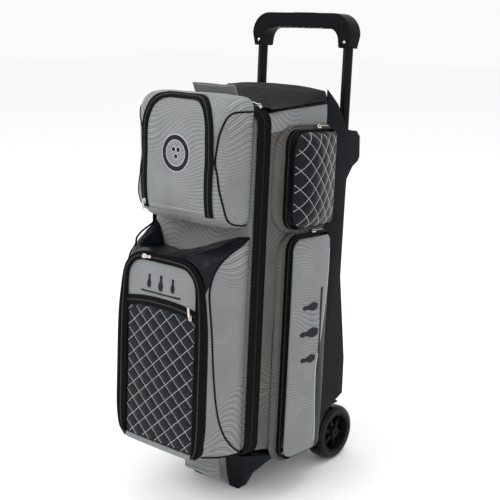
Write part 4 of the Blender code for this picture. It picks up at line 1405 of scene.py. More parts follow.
@dataclass
class Badge:
    """Plain embroidered motifs: a ball and a row of pins."""

    thick: float = 0.0012

    def laid(self, bm: Mesh, skin: Skin, middle: Vector, across: Vector, up: Vector,
             way: Vector) -> Mesh:
        """Lays a flat motif, drawn in x and z, on a surface."""
        for vert in bm.verts:
            lift = -vert.co.y
            start = middle + across * vert.co.x + up * vert.co.z
            found = skin.drop(start, way)
            vert.co = (found[0] + found[1] * lift) if found else start
        bmesh.ops.recalc_face_normals(bm, faces=bm.faces)
        return bm

    def disc(self, x: float, z: float, outer: float, inner: float = 0.0) -> Mesh:
        """A satin-stitched ring or dot, drawn facing the front."""
        bm = bmesh.new()
        made_ring = bmesh.ops.create_circle(bm, segments=28, radius=outer, cap_ends=True)
        bmesh.ops.rotate(bm, verts=made_ring["verts"], cent=(0, 0, 0),
                         matrix=Matrix.Rotation(pi / 2, 3, "X"))
        if inner > 0:
            bmesh.ops.inset_region(bm, faces=bm.faces[:], thickness=outer - inner,
                                   use_boundary=True)
            hole = max(bm.faces, key=lambda face: len(face.verts))
            bmesh.ops.delete(bm, geom=[hole], context="FACES")
        deepen(bm, FORWARD * self.thick)
        bmesh.ops.translate(bm, vec=(x, 0, z), verts=bm.verts)
        return bm

    def pin(self, x: float, z: float, height: float) -> Mesh:
        """A skittle seen from the side, drawn facing the front."""
        half = [(0.0, 0.09), (0.1, 0.15), (0.3, 0.19), (0.45, 0.16), (0.62, 0.085),
                (0.72, 0.075), (0.84, 0.1), (0.94, 0.085), (1.0, 0.03)]
        right = [Vector((x + width * height, 0, z + (share - 0.5) * height))
                 for share, width in half]
        left = [Vector((2 * x - spot.x, 0, spot.z)) for spot in reversed(right)]
        return plate(right + left, Vector((0, -self.thick, 0)))

    def ball(self, skin: Skin, middle: Vector, across: Vector, up: Vector, way: Vector,
             size: float, grow: float = 0.0) -> Mesh:
        """A ball with its finger holes, each part grown outwards by the last number."""
        parts = [self.disc(0, 0, size / 2 + grow, size * 0.37 - grow)]
        for x, z in ((-0.07, 0.1), (0.11, 0.1), (0.02, -0.09)):
            parts.append(self.disc(x * size, z * size, size * 0.065 + grow))
        return self.laid(merge(*parts), skin, middle, across, up, way)

    def pin_row(self, skin: Skin, middle: Vector, across: Vector, up: Vector, way: Vector,
                length: float) -> Mesh:
        """Three pins and a bar under them."""
        height = length * 0.3
        parts = [self.pin((i - 1) * length * 0.3, 0.0, height * (1.0 if i == 1 else 0.84))
                 for i in range(3)]
        bar = frontal(-length / 2, length / 2, -height * 0.72, -height * 0.62, height * 0.045,
                      segments=3)
        parts.append(plate(bar, Vector((0, -self.thick, 0))))
        return self.laid(merge(*parts), skin, middle, across, up, way)


# ---- accessory pocket
@dataclass
class AccessoryPocket:
    """The rounded pocket at the head of the door, with its drop-down flap."""

    low: float = 0.594
    high: float = 0.834
    rear: float = -0.1858
    wall: float = 0.0026
    zip_half: float = 0.088
    zip_width: float = 0.019
    flap_low: float = 0.6045
    stations: tuple = (
        (-0.185, 0.131, 0.581, 0.8375, 0.02), (-0.205, 0.1325, 0.579, 0.839, 0.024),
        (-0.23, 0.13, 0.583, 0.839, 0.034), (-0.247, 0.1245, 0.59, 0.8365, 0.044),
        (-0.257, 0.114, 0.5955, 0.829, 0.047), (-0.2612, 0.1, 0.606, 0.816, 0.044),
        (-0.2635, 0.07, 0.635, 0.785, 0.034))
    seam: tuple = ((-0.1862, 0.81), (-0.21, 0.8098), (-0.236, 0.809), (-0.245, 0.805),
                   (-0.252, 0.795), (-0.2565, 0.776), (-0.2582, 0.75), (-0.2583, 0.7184),
                   (-0.2561, 0.6617), (-0.25, 0.625), (-0.24, 0.602), (-0.225, 0.5915),
                   (-0.205, 0.5885), (-0.1862, 0.5885))

    def body(self) -> Mesh:
        """The stuffed pocket as one solid."""
        outlines = [frontal(-half, half, low, high, radius, y, 10)
                    for y, half, low, high, radius in self.stations]
        bm = loft(outlines, 0.012, 88, False)
        pad = inflated(bm, 0.005, lambda spot: 1 - 0.95 * ease(self.rear - spot.y, 0.004, 0.03),
                       0.005, 3.0)

        def give(spot: Vector, normal: Vector) -> float:
            """Soft dents in the walls and folds fanning from the upper seam."""
            free = ease(self.rear - spot.y, 0.006, 0.03)
            dent = drape_noise(Vector((spot.x, spot.y, spot.z * 0.8)), 0.05, 7.0)
            fan = sin(spot.y * 260 + spot.z * 60) * exp(-((spot.z - 0.775) / 0.02) ** 2)
            side = ease(abs(normal.x), 0.6, 0.95)
            return free * (0.0021 * dent + side * 0.0012 * fan)
        return displace(pad, give)

    def flap_outline(self, grow: float, y: float) -> list[Vector]:
        """The flap from the front, grown outwards."""
        half = self.zip_half - self.zip_width / 2 + grow
        return frontal(-half, half, self.flap_low - grow, self.high - 0.0015 + grow,
                       [0.004, 0.004, 0.059 + grow, 0.059 + grow], y, 12)

    def zip_path(self, skin: Skin) -> tuple[list[Vector], list[Vector]]:
        """The zip's line up one side, over the head and down the other, on the surface."""
        line = frontal(-self.zip_half, self.zip_half, self.low - 0.2, self.high + 0.0008, 0.066,
                       AHEAD, 14)
        line = [spot for spot in line if spot.z > self.low + 0.05]
        line.sort(key=lambda spot: spot.x)
        left = [Vector((-self.zip_half, AHEAD, self.low + 0.01 + 0.006 * i)) for i in range(8)]
        right = [Vector((-spot.x, spot.y, spot.z)) for spot in reversed(left)]
        path, ups = [], []
        for spot in even_path(left + line + right, 0.005):
            tip = ease(spot.z, 0.785, 0.834)
            found = skin.drop(spot + UP * 0.085 * tip, Vector((0, 1, -0.9 * tip)).normalized())
            if found:
                path.append(found[0])
                ups.append(found[1].lerp(FORWARD, 0.35 * (1 - tip)).normalized())
        return eased_path(path), ups

    def build(self, shop: Workshop) -> None:
        """Fits the pocket."""
        pad = self.body()
        skin = Skin.of(pad)
        path, ups = self.zip_path(skin)
        wide = sweep(path, ribbon(self.zip_width, 0.0026), ups)
        coil = Zip(coil=0.0017).teeth([spot + up * 0.001 for spot, up in zip(path, ups)], ups)
        piping = []
        for side in SIDES.values():
            marks = []
            for spot in smooth_path([(0.2 * side, y, z) for y, z in self.seam], 0.005):
                found = skin.drop(spot, Vector((-side, 0, 0)))
                if found:
                    marks.append(found[0])
            piping.append(sweep(eased_path(marks), circle(0.0021), RIGHT))
        middle, size = Vector((0.003, AHEAD, 0.722)), 0.072
        ball = Badge().ball(skin, middle, RIGHT, UP, BACK, size)
        halo = Badge(thick=0.0007).ball(skin, middle, RIGHT, UP, BACK, size, 0.0015)
        hem = [Vector((-0.072 + 0.144 * i / 30, AHEAD, 0.6115)) for i in range(31)]
        stitches = merge(*Stitching(0.0008, 0.0035, 0.0055).row(skin, hem, BACK))
        rear = [face for face in pad.faces if face.calc_center_median().y > self.rear + 0.0004]
        bmesh.ops.delete(pad, geom=rear, context="FACES")
        shell = thicken(pad, self.wall)
        tool = plate(self.flap_outline(0.0, -0.32), Vector((0, 0.095, 0)))
        slot = plate(self.flap_outline(0.0008, -0.32), Vector((0, 0.095, 0)))
        flap = trimmed(shell, tool, "INTERSECT")
        walls = trimmed(shell, slot, "DIFFERENCE")
        tool.free()
        slot.free()
        shell.free()
        shop.fit("accessory_pocket_walls", walls, "front_door", (Finish.CLOTH,),
                 ("flap_pocket_gusset", "flap_pocket_front"))
        shop.fit("accessory_flap_panel", flap, "accessory_flap", (Finish.CLOTH,),
                 ("flap_panel",))
        shop.fit("accessory_flap_hem", stitches, "accessory_flap", (Finish.SILVER_THREAD,))
        shop.fit("accessory_badge", ball, "accessory_flap", (Finish.BLACK_THREAD,))
        shop.fit("accessory_badge_edge", halo, "accessory_flap", (Finish.SILVER_THREAD,))
        shop.fit("accessory_zip", merge(wide, coil), "front_door", (Finish.WEBBING, Finish.COIL))
        shop.fit("accessory_piping", merge(*piping), "front_door", (Finish.WEBBING,))
        end = path[1] + Vector((0, -0.0028, 0.006))
        slider = ZipSlider(pull=0.012).shaped(end, FORWARD, -UP)
        shop.fit("accessory_zip_slider", slider, "front_door", (Finish.METAL,), ("flap_slider",))


# ---- side pockets
@dataclass
class SidePocket:
    """A pocket on the bag's flank: gusset, zip band and swelling cover."""

    level: str
    y0: float
    y1: float
    z0: float
    z1: float
    corner: float
    swell: float
    quilted: bool
    flare: float
    base: float = 0.1403
    band_low: float = 0.1462
    rim: float = 0.16
    wide: float = 0.036
    tall: float = 0.0375

    def outline(self, grow: float, x: float) -> list[Vector]:
        """The pocket's outline in the flank's plane, grown outwards."""
        tall = min(grow, 0.011)
        near, low, high = self.y0 - grow, self.z0 - tall, self.z1 + tall
        corners = [Vector((x, near, low)), Vector((x, self.y1, low)),
                   Vector((x, self.y1, high)), Vector((x, near, high))]
        front = self.corner + grow
        return face_outline(corners, [front, 0.012, 0.012, front], 10)

    def gusset(self) -> Mesh:
        """The grey wall that flares onto the bag's flank."""
        runs = ((self.flare, self.base), (self.flare - 0.003, self.base + 0.003),
                (self.flare * 0.72, self.base + 0.0062), (self.flare * 0.45, self.base + 0.0066),
                (0.0065, self.band_low - 0.001), (0.005, self.band_low),
                (0.003, self.band_low + 0.001), (0.0008, self.band_low), (0.0002, self.base))
        bm = loft([self.outline(out, x) for out, x in runs], 0.006, 120, True)
        return displace(bm, lambda spot, normal: 0.0006 * drape_noise(spot, 0.035, 2.0))

    def band(self) -> Mesh:
        """The zip band between the gusset and the cover, on the body."""
        middle = (self.band_low + self.rim) / 2
        path = even_path(self.outline(0.0012, middle), 0.006, True)
        centre = Vector((middle, (self.y0 + self.y1) / 2, (self.z0 + self.z1) / 2))
        ups = [self.facing(spot, centre) for spot in path]
        width = self.rim - self.band_low - 0.0006
        tape = sweep(path, ribbon(width, 0.0016), ups, True)
        welt = sweep(even_path(self.outline(0.0022, self.band_low + 0.0012), 0.006, True),
                     circle(0.0016), RIGHT, True)
        coil = Zip(coil=0.0015).teeth(even_path(self.outline(0.0026, middle + 0.001), 0.004, True),
                                      RIGHT, True)
        return merge(tape, welt, coil)

    def facing(self, spot: Vector, centre: Vector) -> Vector:
        """Which way the outline faces at one of its places."""
        depth = (self.y1 - self.y0) / 2 - self.corner
        height = (self.z1 - self.z0) / 2 - self.corner
        y, z = spot.y - centre.y, spot.z - centre.z
        past = (y - max(min(y, depth), -depth), z - max(min(z, height), -height))
        return Vector((0, *past)).normalized()

    def cover(self) -> Mesh:
        """The stuffed cover on the right flank, quilted or plain."""
        bm = plate(even_path(self.outline(-0.001, self.rim + 0.0004), 0.008, True),
                   Vector((0.0042, 0, 0)))
        slice_up(bm, 0.012, (1, 2))
        middle, depth = (self.y0 + self.y1) / 2, (self.y1 - self.y0) / 2
        tall, height = (self.z0 + self.z1) / 2, (self.z1 - self.z0) / 2

        def barrel(spot: Vector) -> float:
            """How far the cover stands out at a place, from 0 to 1."""
            if self.quilted:
                apex = self.y0 + 0.055
                if spot.y > apex:
                    across = max(1 - ((spot.y - apex) / (self.y1 - apex)) ** 1.45, 0.0)
                else:
                    across = max(1 - ((apex - spot.y) / (apex - self.y0)) ** 3, 0.0) ** 0.7
            else:
                across = max(1 - abs((spot.y - middle) / depth) ** 2.4, 0.0) ** 0.75
            along = max(1 - abs((spot.z - tall) / height) ** 5, 0.0) ** 0.6
            return across * along
        for vert in bm.verts:
            if vert.co.x > self.rim + 0.002:
                vert.co.x += barrel(vert.co) * (self.swell - 0.01)
        pad = inflated(bm, 0.005, lambda spot: 1 - 0.96 * ease(barrel(spot), 0.05, 0.5),
                       0.0045, 3.0)

        def finish(spot: Vector, normal: Vector) -> float:
            """Diamond quilting, or the slack of plain cloth."""
            if normal.x < 0.15:
                return 0.0
            if self.quilted:
                swell = diamonds(spot.y, spot.z, self.wide, self.tall)
                return 0.0024 * ease(normal.x, 0.15, 0.5) * swell
            wave = drape_noise(Vector((spot.x, spot.y * 1.4, spot.z * 0.6)), 0.05, 11.0)
            return 0.0022 * wave * ease(barrel(spot), 0.1, 0.6)
        displace(pad, finish)
        for face in pad.faces:
            face.material_index = int(self.vinyl_side(face.calc_center_median()))
        return pad

    def vinyl_side(self, spot: Vector) -> bool:
        """Whether a place on a plain cover is on its glossy rear gusset."""
        if self.quilted:
            return False
        edge = line_at(((0.069, 0.02), (0.106, 0.019), (0.183, 0.008), (0.264, 0.003),
                        (0.339, 0.019), (0.425, 0.034), (0.5, 0.0405), (0.559, 0.046)), spot.z)
        return spot.y > edge

    def threads(self, skin: Skin) -> Mesh:
        """Silver stitches along a quilted cover."""
        rows = []
        low, high = (self.y0 + 0.002, self.z0 + 0.002), (self.y1 - 0.002, self.z1 - 0.002)
        for start, end in diamond_lines(low, high, self.wide, self.tall):
            marks = [Vector((BESIDE, y, z)) for y, z in straight(start, end, 40)]
            rows += Stitching().row(skin, marks, -RIGHT)
        return merge(*rows)

    def rear_piping(self, skin: Skin) -> Mesh:
        """Pale welt where the plain cover meets its glossy rear gusset."""
        seam = ((0.018, 0.09), (0.008, 0.183), (0.003, 0.264), (0.019, 0.339), (0.034, 0.425),
                (0.0405, 0.52))
        marks = smooth_path([(BESIDE, y, z) for y, z in seam], 0.006)
        found = [skin.drop(mark, -RIGHT) for mark in marks]
        return sweep([hit[0] for hit in found if hit], circle(0.001, 6), RIGHT)

    def build(self, shop: Workshop) -> None:
        """Fits the pocket on both flanks."""
        gusset, band, cover = self.gusset(), self.band(), self.cover()
        skin = Skin.of(cover)
        if self.quilted:
            trim = {"stitching": (self.threads(skin), Finish.SILVER_THREAD)}
        else:
            middle = Vector((BESIDE, -0.028, 0.345))
            badge = Badge().pin_row(skin, middle, UP, -BACK, -RIGHT, 0.19)
            trim = {"badge": (badge, Finish.BLACK_THREAD),
                    "rear_piping": (self.rear_piping(skin), Finish.SILVER_THREAD)}
        slider = ZipSlider(pull=0.022)
        place = (self.band_low + 0.0055, -0.004, self.z1 + 0.004)
        pull = slider.shaped(place, (0.15, 0, 1), (0.1, 1, 0))
        outer = Finish.VINYL if self.quilted else Finish.CLOTH
        for name, side in SIDES.items():
            tag = self.level + "_" + name
            door = "side_cover_" + tag
            # painted shade: the gussets take the darker copy of the grey cloth
            shop.fit("side_gusset_" + tag, sided(gusset.copy(), side), "bag", (Finish.PAINTED_SHADE_CLOTH,),
                     ("side_rim_" + tag,))
            shop.fit("side_zip_" + tag, sided(band.copy(), side), "bag",
                     (Finish.WEBBING, Finish.COIL))
            shop.fit("side_pad_" + tag, sided(cover.copy(), side), door, (outer, Finish.VINYL),
                     ("side_cover_" + tag,))
            for part, (mesh, finish) in trim.items():
                shop.fit(f"side_{part}_{tag}", sided(mesh.copy(), side), door, (finish,))
            shop.fit("side_zip_slider_" + tag, sided(pull.copy(), side), "bag", (Finish.METAL,))


# ---- mouldings and wheels
@dataclass
class BackShell:
    """The moulded back, feet, tube holders and base."""

    cheek_edge: float = 0.0006

    def build(self, shop: Workshop) -> None:
        """Fits the mouldings as eased copies of the frame's."""
        plain = ["back_panel", "back_crown", "back_keel", "tube_beam", "base_tray", "axle_carrier"]
        for name in SIDES:
            plain += [part + name for part in ("back_cheek_", "wheel_arch_", "front_foot_",
                                               "tube_bracket_")]
        for node in plain:
            ease_by = self.cheek_edge if node.startswith("back_cheek") else 0.0009
            if node.startswith("front_foot"):
                ease_by = 0.004
            shop.fit("moulded_" + node, shop.copy_of(node, ease_by), "bag", (Finish.MOULDING,),
                     (node,))
        ribs = []
        for i in range(5):
            x = -0.072 + 0.036 * i
            rib = block((x - 0.0035, 0.1115, 0.18), (x + 0.0035, 0.1165, 0.735))
            round_along(rib, 2, 0.0022, 3)
            ribs.append(rib)
        shop.fit("back_ribs", merge(*ribs), "bag", (Finish.MOULDING,))


@dataclass
class Wheel:
    """A glossy five-inch wheel with a six-spoked hub."""

    y = 0.148
    z = 0.0635
    radius: float = 0.0635
    inner: float = 0.095
    outer: float = 0.14
    rim: float = 0.0455

    def tyre(self) -> Mesh:
        """The tread and its side walls."""
        half, rim, top = (self.outer - self.inner) / 2, self.rim, self.radius
        profile = [(rim, -half + 0.001), (rim + 0.003, -half), (top - 0.0085, -half),
                   (top - 0.004, -half + 0.0022), (top - 0.001, -half + 0.007),
                   (top, -half + 0.013), (top, half - 0.013),
                   (top - 0.001, half - 0.007), (top - 0.004, half - 0.0022),
                   (top - 0.0085, half), (rim + 0.005, half), (rim + 0.0035, half - 0.0012),
                   (rim + 0.001, half - 0.0012), (rim, half - 0.0024)]
        return turned(profile, ((self.inner + self.outer) / 2, self.y, self.z), RIGHT, 72)

    def hub(self) -> Mesh:
        """Rim ring, spokes, and a stepped cap."""
        face = self.outer - 0.0015
        edge = self.rim - 0.0003
        ring = [(edge, -0.04), (edge, -0.001), (edge - 0.0015, 0.0), (edge - 0.0035, -0.0005),
                (edge - 0.0065, -0.012), (edge - 0.0065, -0.04)]
        cap = [(0.0056, -0.038), (0.0056, -0.006), (0.004, -0.0012), (0.0095, -0.0008),
               (0.0125, -0.003), (0.0135, -0.008), (0.014, -0.038)]
        centre = (face, self.y, self.z)
        parts = [turned(ring, centre, RIGHT, 72), turned(cap, centre, RIGHT, 48)]
        for i in range(6):
            spoke = block((face - 0.034, -0.0052, 0.01), (face - 0.0075, 0.0052, self.rim - 0.005))
            for vert in spoke.verts:
                if vert.co.z > 0.02:
                    vert.co.y *= 0.72
                    vert.co.x -= 0.004 if vert.co.x > face - 0.02 else 0.0
            soften(spoke, 0.0018, 3)
            bmesh.ops.rotate(spoke, verts=spoke.verts, cent=(0, 0, 0),
                             matrix=Matrix.Rotation(tau * i / 6 + 0.26, 3, "X"))
            bmesh.ops.translate(spoke, verts=spoke.verts, vec=(0, self.y, self.z))
            parts.append(spoke)
        return merge(*parts)

    def build(self, shop: Workshop) -> None:
        """Fits both wheels."""
        tyre, hub = self.tyre(), self.hub()
        for name, side in SIDES.items():
            shop.fit("wheel_tread_" + name, sided(tyre.copy(), side), "wheel_" + name,
                     (Finish.URETHANE,), ("tyre_" + name,), crease=38)
            shop.fit("wheel_hub_" + name, sided(hub.copy(), side), "wheel_" + name, (Finish.HUB,),
                     ("hub_" + name,), crease=38)


# ---- handle
@dataclass
class Handle:
    """The pulled-out handle: tubes with a groove, a moulded grip, rivets and button."""

    tube_x: float = 0.1185
    y: float = 0.134
    tube: float = 0.0109
    low: float = 0.34
    top: float = 0.965
    half: float = 0.1345
    gap_half: float = 0.1025
    grip_low: float = 0.9376
    under: float = 0.977
    grip_top: float = 1.01
    depth: float = 0.036

    def rod(self, radius: float, low: float, high: float, side: float) -> Mesh:
        """A tube with a shallow groove down its front."""
        path = [Vector((self.tube_x * side, self.y, z)) for z in (low, high)]
        section = []
        for i in range(40):
            angle = tau * i / 40
            away = abs((angle - pi * 0.62 + pi) % tau - pi)
            inset = 0.0013 if away < 0.22 else 0.0
            section.append(((radius - inset) * cos(angle), (radius - inset) * sin(angle)))
        return sweep(path, section, FORWARD)

    def grip(self) -> Mesh:
        """The grip with its round shoulders and finger grooves."""
        corners = [(-self.half, self.grip_low), (-self.gap_half, self.grip_low),
                   (-self.gap_half, self.under), (self.gap_half, self.under),
                   (self.gap_half, self.grip_low), (self.half, self.grip_low),
                   (self.half, self.grip_top), (-self.half, self.grip_top)]
        outline = face_outline([Vector((x, self.y - self.depth / 2, z)) for x, z in corners],
                               [0.002, 0.002, 0.022, 0.022, 0.002, 0.002, 0.046, 0.046], 10)
        bm = plate(outline, Vector((0, self.depth, 0)))
        rims = [edge for edge in bm.edges if abs(edge.verts[0].co.y - edge.verts[1].co.y) < 1e-5
                and (edge.verts[0].co.z + edge.verts[1].co.z) / 2 > self.grip_low + 0.004]
        bevel(bm, rims, 0.015, 7)
        slice_up(bm, 0.005, (0,))
        for vert in bm.verts:
            if abs(vert.co.x) < 0.066 and vert.co.z < self.under + 0.012:
                vert.co.z += 0.0028 * sin(vert.co.x * 190) ** 2
            narrow = ease(vert.co.z, self.grip_low + 0.03, self.grip_low)
            vert.co.y = self.y + (vert.co.y - self.y) * (1.1 - 0.26 * narrow)
            if abs(vert.co.x) > 0.118:
                vert.co.x *= 1 - 0.022 * narrow
        bmesh.ops.recalc_face_normals(bm, faces=bm.faces)
        return bm

    def collar(self, side: float) -> Mesh:
        """The raised socket edge at the foot of a grip's leg."""
        low = Vector((self.tube_x * side - 0.0155, self.y - 0.016, self.grip_low - 0.0005))
        high = Vector((self.tube_x * side + 0.0155, self.y + 0.016, self.grip_low + 0.003))
        bm = block(low, high)
        round_along(bm, 2, 0.006, 4)
        return bm

    def rivet(self, side: float) -> Mesh:
        """A domed rivet on the front of a socket."""
        bm = bmesh.new()
        bmesh.ops.create_uvsphere(bm, u_segments=20, v_segments=12, radius=0.0036)
        bmesh.ops.scale(bm, vec=(1, 0.5, 1), verts=bm.verts)
        place = (self.tube_x * side, self.y - self.depth / 2 + 0.0012, 0.9495)
        bmesh.ops.translate(bm, verts=bm.verts, vec=place)
        return bm

    def build(self, shop: Workshop) -> None:
        """Fits the handle."""
        for name, side in SIDES.items():
            shop.fit("handle_tube_" + name, self.rod(self.tube, self.low, self.top, side), "handle",
                     (Finish.TUBE,), ("inner_tube_" + name,))
            shop.fit("handle_sleeve_" + name, shop.copy_of("outer_tube_" + name, 0.0003), "bag",
                     (Finish.TUBE,), ("outer_tube_" + name,))
            shop.fit("handle_rivet_" + name, self.rivet(side), "handle", (Finish.METAL,))
        grip = merge(self.grip(), *(self.collar(side) for side in SIDES.values()))
        shop.fit("handle_grip", grip, "handle", (Finish.GRIP,), ("grip",), crease=44)
        button = block((-0.03, self.y - 0.011, self.grip_top - 0.006),
                       (0.03, self.y + 0.011, self.grip_top + 0.0011))
        round_along(button, 2, 0.006, 5)
        soften(button, 0.0012, 3)
        shop.fit("handle_button", button, "release_button", (Finish.MOULDING,), ("release_button",))


# ---- soft head and grab handles
@dataclass
class HeadPocket:
    """The black mesh pocket over the bag's head."""

    front: float = -0.138
    rear: float = 0.0405
    half: float = 0.139
    rise: float = 0.03
    side_rise: float = 0.0205
    wall: float = 0.0016
    fall: float = 0.94
    turn: float = 0.75

    def dome(self, top: Sequence[tuple[float, float]]) -> Mesh:
        """The slack mesh between the side seams."""
        def shape(u: float, v: float) -> Vector:
            """A place on the mesh: u across, v from front to rear, then down the rear wall."""
            wall = max(v - self.fall, 0.0) / (1 - self.fall)
            v = min(v / self.fall, 1.0)
            away, rear = abs(u * 2 - 1), ease(v, 0.3, 1.0)
            corner = 0.75 - 0.7 * rear
            angle = pi / 2 * max(away - self.turn, 0.0) / (1 - self.turn)
            spread = (1 - corner) * min(away / self.turn, 1.0) + corner * sin(angle)
            x = self.half * (spread if u > 0.5 else -spread)
            y = self.front + (self.rear - self.front - 0.004) * v + 0.004 * wall
            across = cos(angle) ** (0.8 - 0.35 * rear) if angle < pi / 2 - 1e-6 else 0.0
            along = ease(v, 0.0, 0.62) * (1 - wall)
            wave = drape_noise(Vector((x * 0.7, y * 2.0, 0.0)), 0.045, 6.0)
            swell = self.side_rise * rear + (self.rise - self.side_rise * rear) * (1 - spread ** 2)
            height = line_at(top, y) + 0.0006 + swell * across * along
            return Vector((x, y, height + 0.003 * wave * across * along))
        bm = formed(96, 46, shape)
        bmesh.ops.recalc_face_normals(bm, faces=bm.faces)
        if sum(face.normal.z for face in bm.faces) < 0:
            bmesh.ops.reverse_faces(bm, faces=bm.faces)
        return thicken(bm, self.wall)

    def build(self, shop: Workshop, body: Body) -> None:
        """Fits the pocket and its binding."""
        shop.fit("head_mesh", self.dome(body.top), "bag", (Finish.MESH,), ("mesh_pocket",))
        path = [Vector((x, self.front + 0.001, line_at(body.top, self.front) + 0.0012))
                for x in (-0.128, -0.06, 0.0, 0.06, 0.128)]
        shop.fit("head_mesh_binding", sweep(smooth_path(path, 0.008), ribbon(0.01, 0.0016), UP),
                 "bag", (Finish.WEBBING,))


@dataclass
class GrabHandle:
    """A flat cloth grab handle on two legs, with rows of stitches."""

    half: float
    foot: float
    reach: float
    y: float
    flop: float
    tall: float = 0.026
    leg: float = 0.014
    deep: float = 0.007

    @property
    def way(self) -> int:
        """1 for a handle that stands up, -1 for one that hangs."""
        return 1 if self.reach > self.foot else -1

    def strap(self) -> Mesh:
        """The strap: a square-ended band on two short legs, with rolled edges."""
        under, gap = self.reach - self.way * self.tall, self.half - self.leg
        corners = [(-self.half, self.foot), (-gap, self.foot), (-gap, under), (gap, under),
                   (gap, self.foot), (self.half, self.foot), (self.half, self.reach),
                   (-self.half, self.reach)]
        outline = face_outline([Vector((x, self.y - self.deep / 2, z)) for x, z in corners],
                               [0, 0, 0.004, 0.004, 0, 0, 0.0025, 0.0025], 4)
        bm = plate(outline, Vector((0, self.deep, 0)))
        soften(bm, 0.0022, 3, 60.0)
        slice_up(bm, 0.006, (0, 2))
        for vert in bm.verts:
            vert.co.y -= (vert.co.z - self.foot) * self.flop
            vert.co.y += 0.0016 * drape_noise(vert.co, 0.04, 8.0)
            vert.co.z += 0.0012 * drape_noise(Vector((vert.co.x, 0, 0)), 0.05, 3.0)
        return bm

    def stitches(self, bm: Mesh) -> Mesh:
        """Two rows along the bar."""
        skin = Skin.of(bm)
        rows = []
        for inset in (0.0045, 0.0195):
            z = self.reach - self.way * inset
            marks = [Vector((x, -0.4, z)) for x in (-self.half + 0.014, self.half - 0.014)]
            rows += Stitching(width=0.0008, length=0.0034, gap=0.0014).row(
                skin, even_path(marks, 0.005), BACK)
        return merge(*rows)


@dataclass
class GrabHandles:
    """The grab handles at the head and the foot."""

    def build(self, shop: Workshop, body: Body) -> None:
        """Fits both handles."""
        head = GrabHandle(0.057, line_at(body.top, -0.135) + 0.0004, 0.8568, -0.14, 0.55)
        foot = GrabHandle(0.05, 0.0905, 0.015, -0.156, 0.0, tall=0.05)
        for name, handle, node in (("head", head, "top_handle"), ("foot", foot, "bottom_handle")):
            strap = handle.strap()
            stitches = handle.stitches(strap)
            shop.fit(f"grab_handle_{name}", strap, "bag", (Finish.CLOTH,), (node,))
            shop.fit(f"grab_handle_{name}_stitching", stitches, "bag", (Finish.SILVER_THREAD,))


@dataclass
class Interior:
    """The ball bays behind the door: dished foam rings and lined shelves."""

    radius: float = 0.1085
    outside: float = 0.104
    height: float = 0.046
    levels: tuple = (("lower", 0.1103), ("middle", 0.3453), ("upper", 0.5803))

    def cup(self, level: float) -> Mesh:
        """A foam ring whose dish takes a ball."""
        mouth = sqrt(self.radius ** 2 - (self.radius + 0.006 - self.height) ** 2)
        profile = [(0, 0), (self.outside - 0.004, 0), (self.outside, 0.004),
                   (self.outside, self.height - 0.006), (self.outside - 0.006, self.height)]
        for i in range(13):
            angle = asin(mouth / self.radius) * (1 - i / 12)
            profile.append((self.radius * sin(angle), 0.006 + self.radius * (1 - cos(angle))))
        return turned(profile, (0, -0.03, level), UP, 56)

    def build(self, shop: Workshop) -> None:
        """Fits the cups, and lines the shelves and the axle that the frame gives."""
        for name, level in self.levels:
            shop.fit("foam_cup_" + name, self.cup(level), "bag", (Finish.FOAM,),
                     ("ball_cup_" + name,))
        for node in ("base_board", "shelf_lower", "shelf_upper"):
            shop.fit("lined_" + node, shop.copy_of(node, 0.0015), "bag", (Finish.LINING,), (node,))
        axle = frame["nodes"]["axle"]
        axle.data.materials.clear()
        axle.data.materials.append(made(Finish.METAL.value))


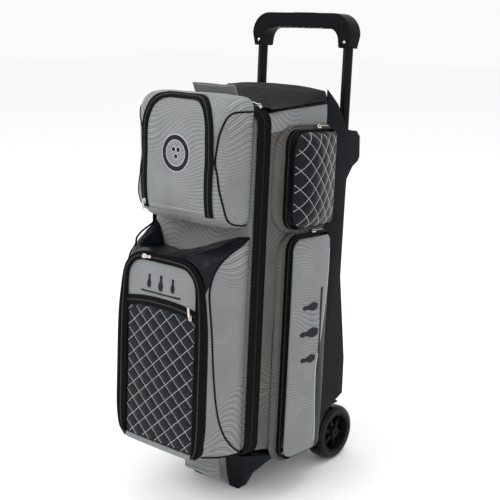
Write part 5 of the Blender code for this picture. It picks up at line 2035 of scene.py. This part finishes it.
# ---- studio
@dataclass
class Studio:
    """Pale floor, soft lights and the camera."""

    eye: Point = (1.38453, -1.68331, 0.93434)
    azimuth: float = 40.395
    elevation: float = 14.2745
    lens: float = 72.42

    def floor(self) -> None:
        """A large pale floor with a trace of tone."""
        bm = bmesh.new()
        bmesh.ops.create_grid(bm, x_segments=1, y_segments=1, size=12.0)
        sheet = as_object(bm, "floor")
        bm.free()
        material = bpy.data.materials.new("pale floor")
        material.use_nodes = True
        shader = material.node_tree.nodes["Principled BSDF"]
        shader.label = "matt paper"
        shader.inputs["Base Color"].default_value = (0.975, 0.975, 0.975, 1)
        shader.inputs["Roughness"].default_value = 0.9
        shader.inputs["Specular IOR Level"].default_value = 0.1
        sheet.data.materials.append(material)

    def lamp(self, name: str, place: Point, power: float, size: float) -> None:
        """A square soft light that faces the bag's middle."""
        data = bpy.data.lights.new(name, "AREA")
        data.energy = power
        data.size = size
        lamp = in_scene(name, data)
        lamp.location = place
        towards = Vector((0, 0, 0.5)) - Vector(place)
        lamp.rotation_euler = towards.to_track_quat("-Z", "Y").to_euler()

    def build(self, space: BagSpace) -> None:
        """Sets the floor, lights, backdrop light and camera."""
        self.floor()
        self.lamp("key light", (-1.3, -3.0, 2.9), 66.0, 2.0)
        self.lamp("side light", (3.4, -0.9, 1.9), 12.0, 1.6)
        self.lamp("top light", (0.2, 0.4, 3.6), 30.0, 2.0)
        world = bpy.data.worlds.new("studio")
        world.use_nodes = True
        backdrop = world.node_tree.nodes["Background"]
        backdrop.label = "white room"
        backdrop.inputs["Color"].default_value = (1, 1, 1, 1)
        backdrop.inputs["Strength"].default_value = 0.96
        bpy.context.scene.world = world
        data = bpy.data.cameras.new("camera")
        data.lens = self.lens
        data.sensor_width = 36.0
        camera = in_scene("camera", data)
        camera.location = space.place(self.eye)
        camera.rotation_euler = (radians(90 - self.elevation), 0, radians(self.azimuth))
        bpy.context.scene.camera = camera
        bpy.context.scene.view_settings.view_transform = "Standard"


def main() -> None:
    logging.basicConfig(level=logging.INFO, format="%(name)s: %(message)s")
    space = BagSpace.from_frame(frame["joints"])
    shop = Workshop(space)
    Studio().build(space)
    body = Body()
    body.build(shop)
    Door().build(shop, body)
    ShoeCompartment().build(shop)
    AccessoryPocket().build(shop)
    for pocket in (SidePocket("upper", -0.1, 0.046, 0.573, 0.77, 0.028, 0.035, True, 0.033),
                   SidePocket("lower", -0.084, 0.046, 0.07, 0.552, 0.028, 0.02, False, 0.022)):
        pocket.build(shop)
    BackShell().build(shop)
    Wheel().build(shop)
    Handle().build(shop)
    HeadPocket().build(shop, body)
    GrabHandles().build(shop, body)
    Interior().build(shop)


if __name__ == "__main__":
    main()
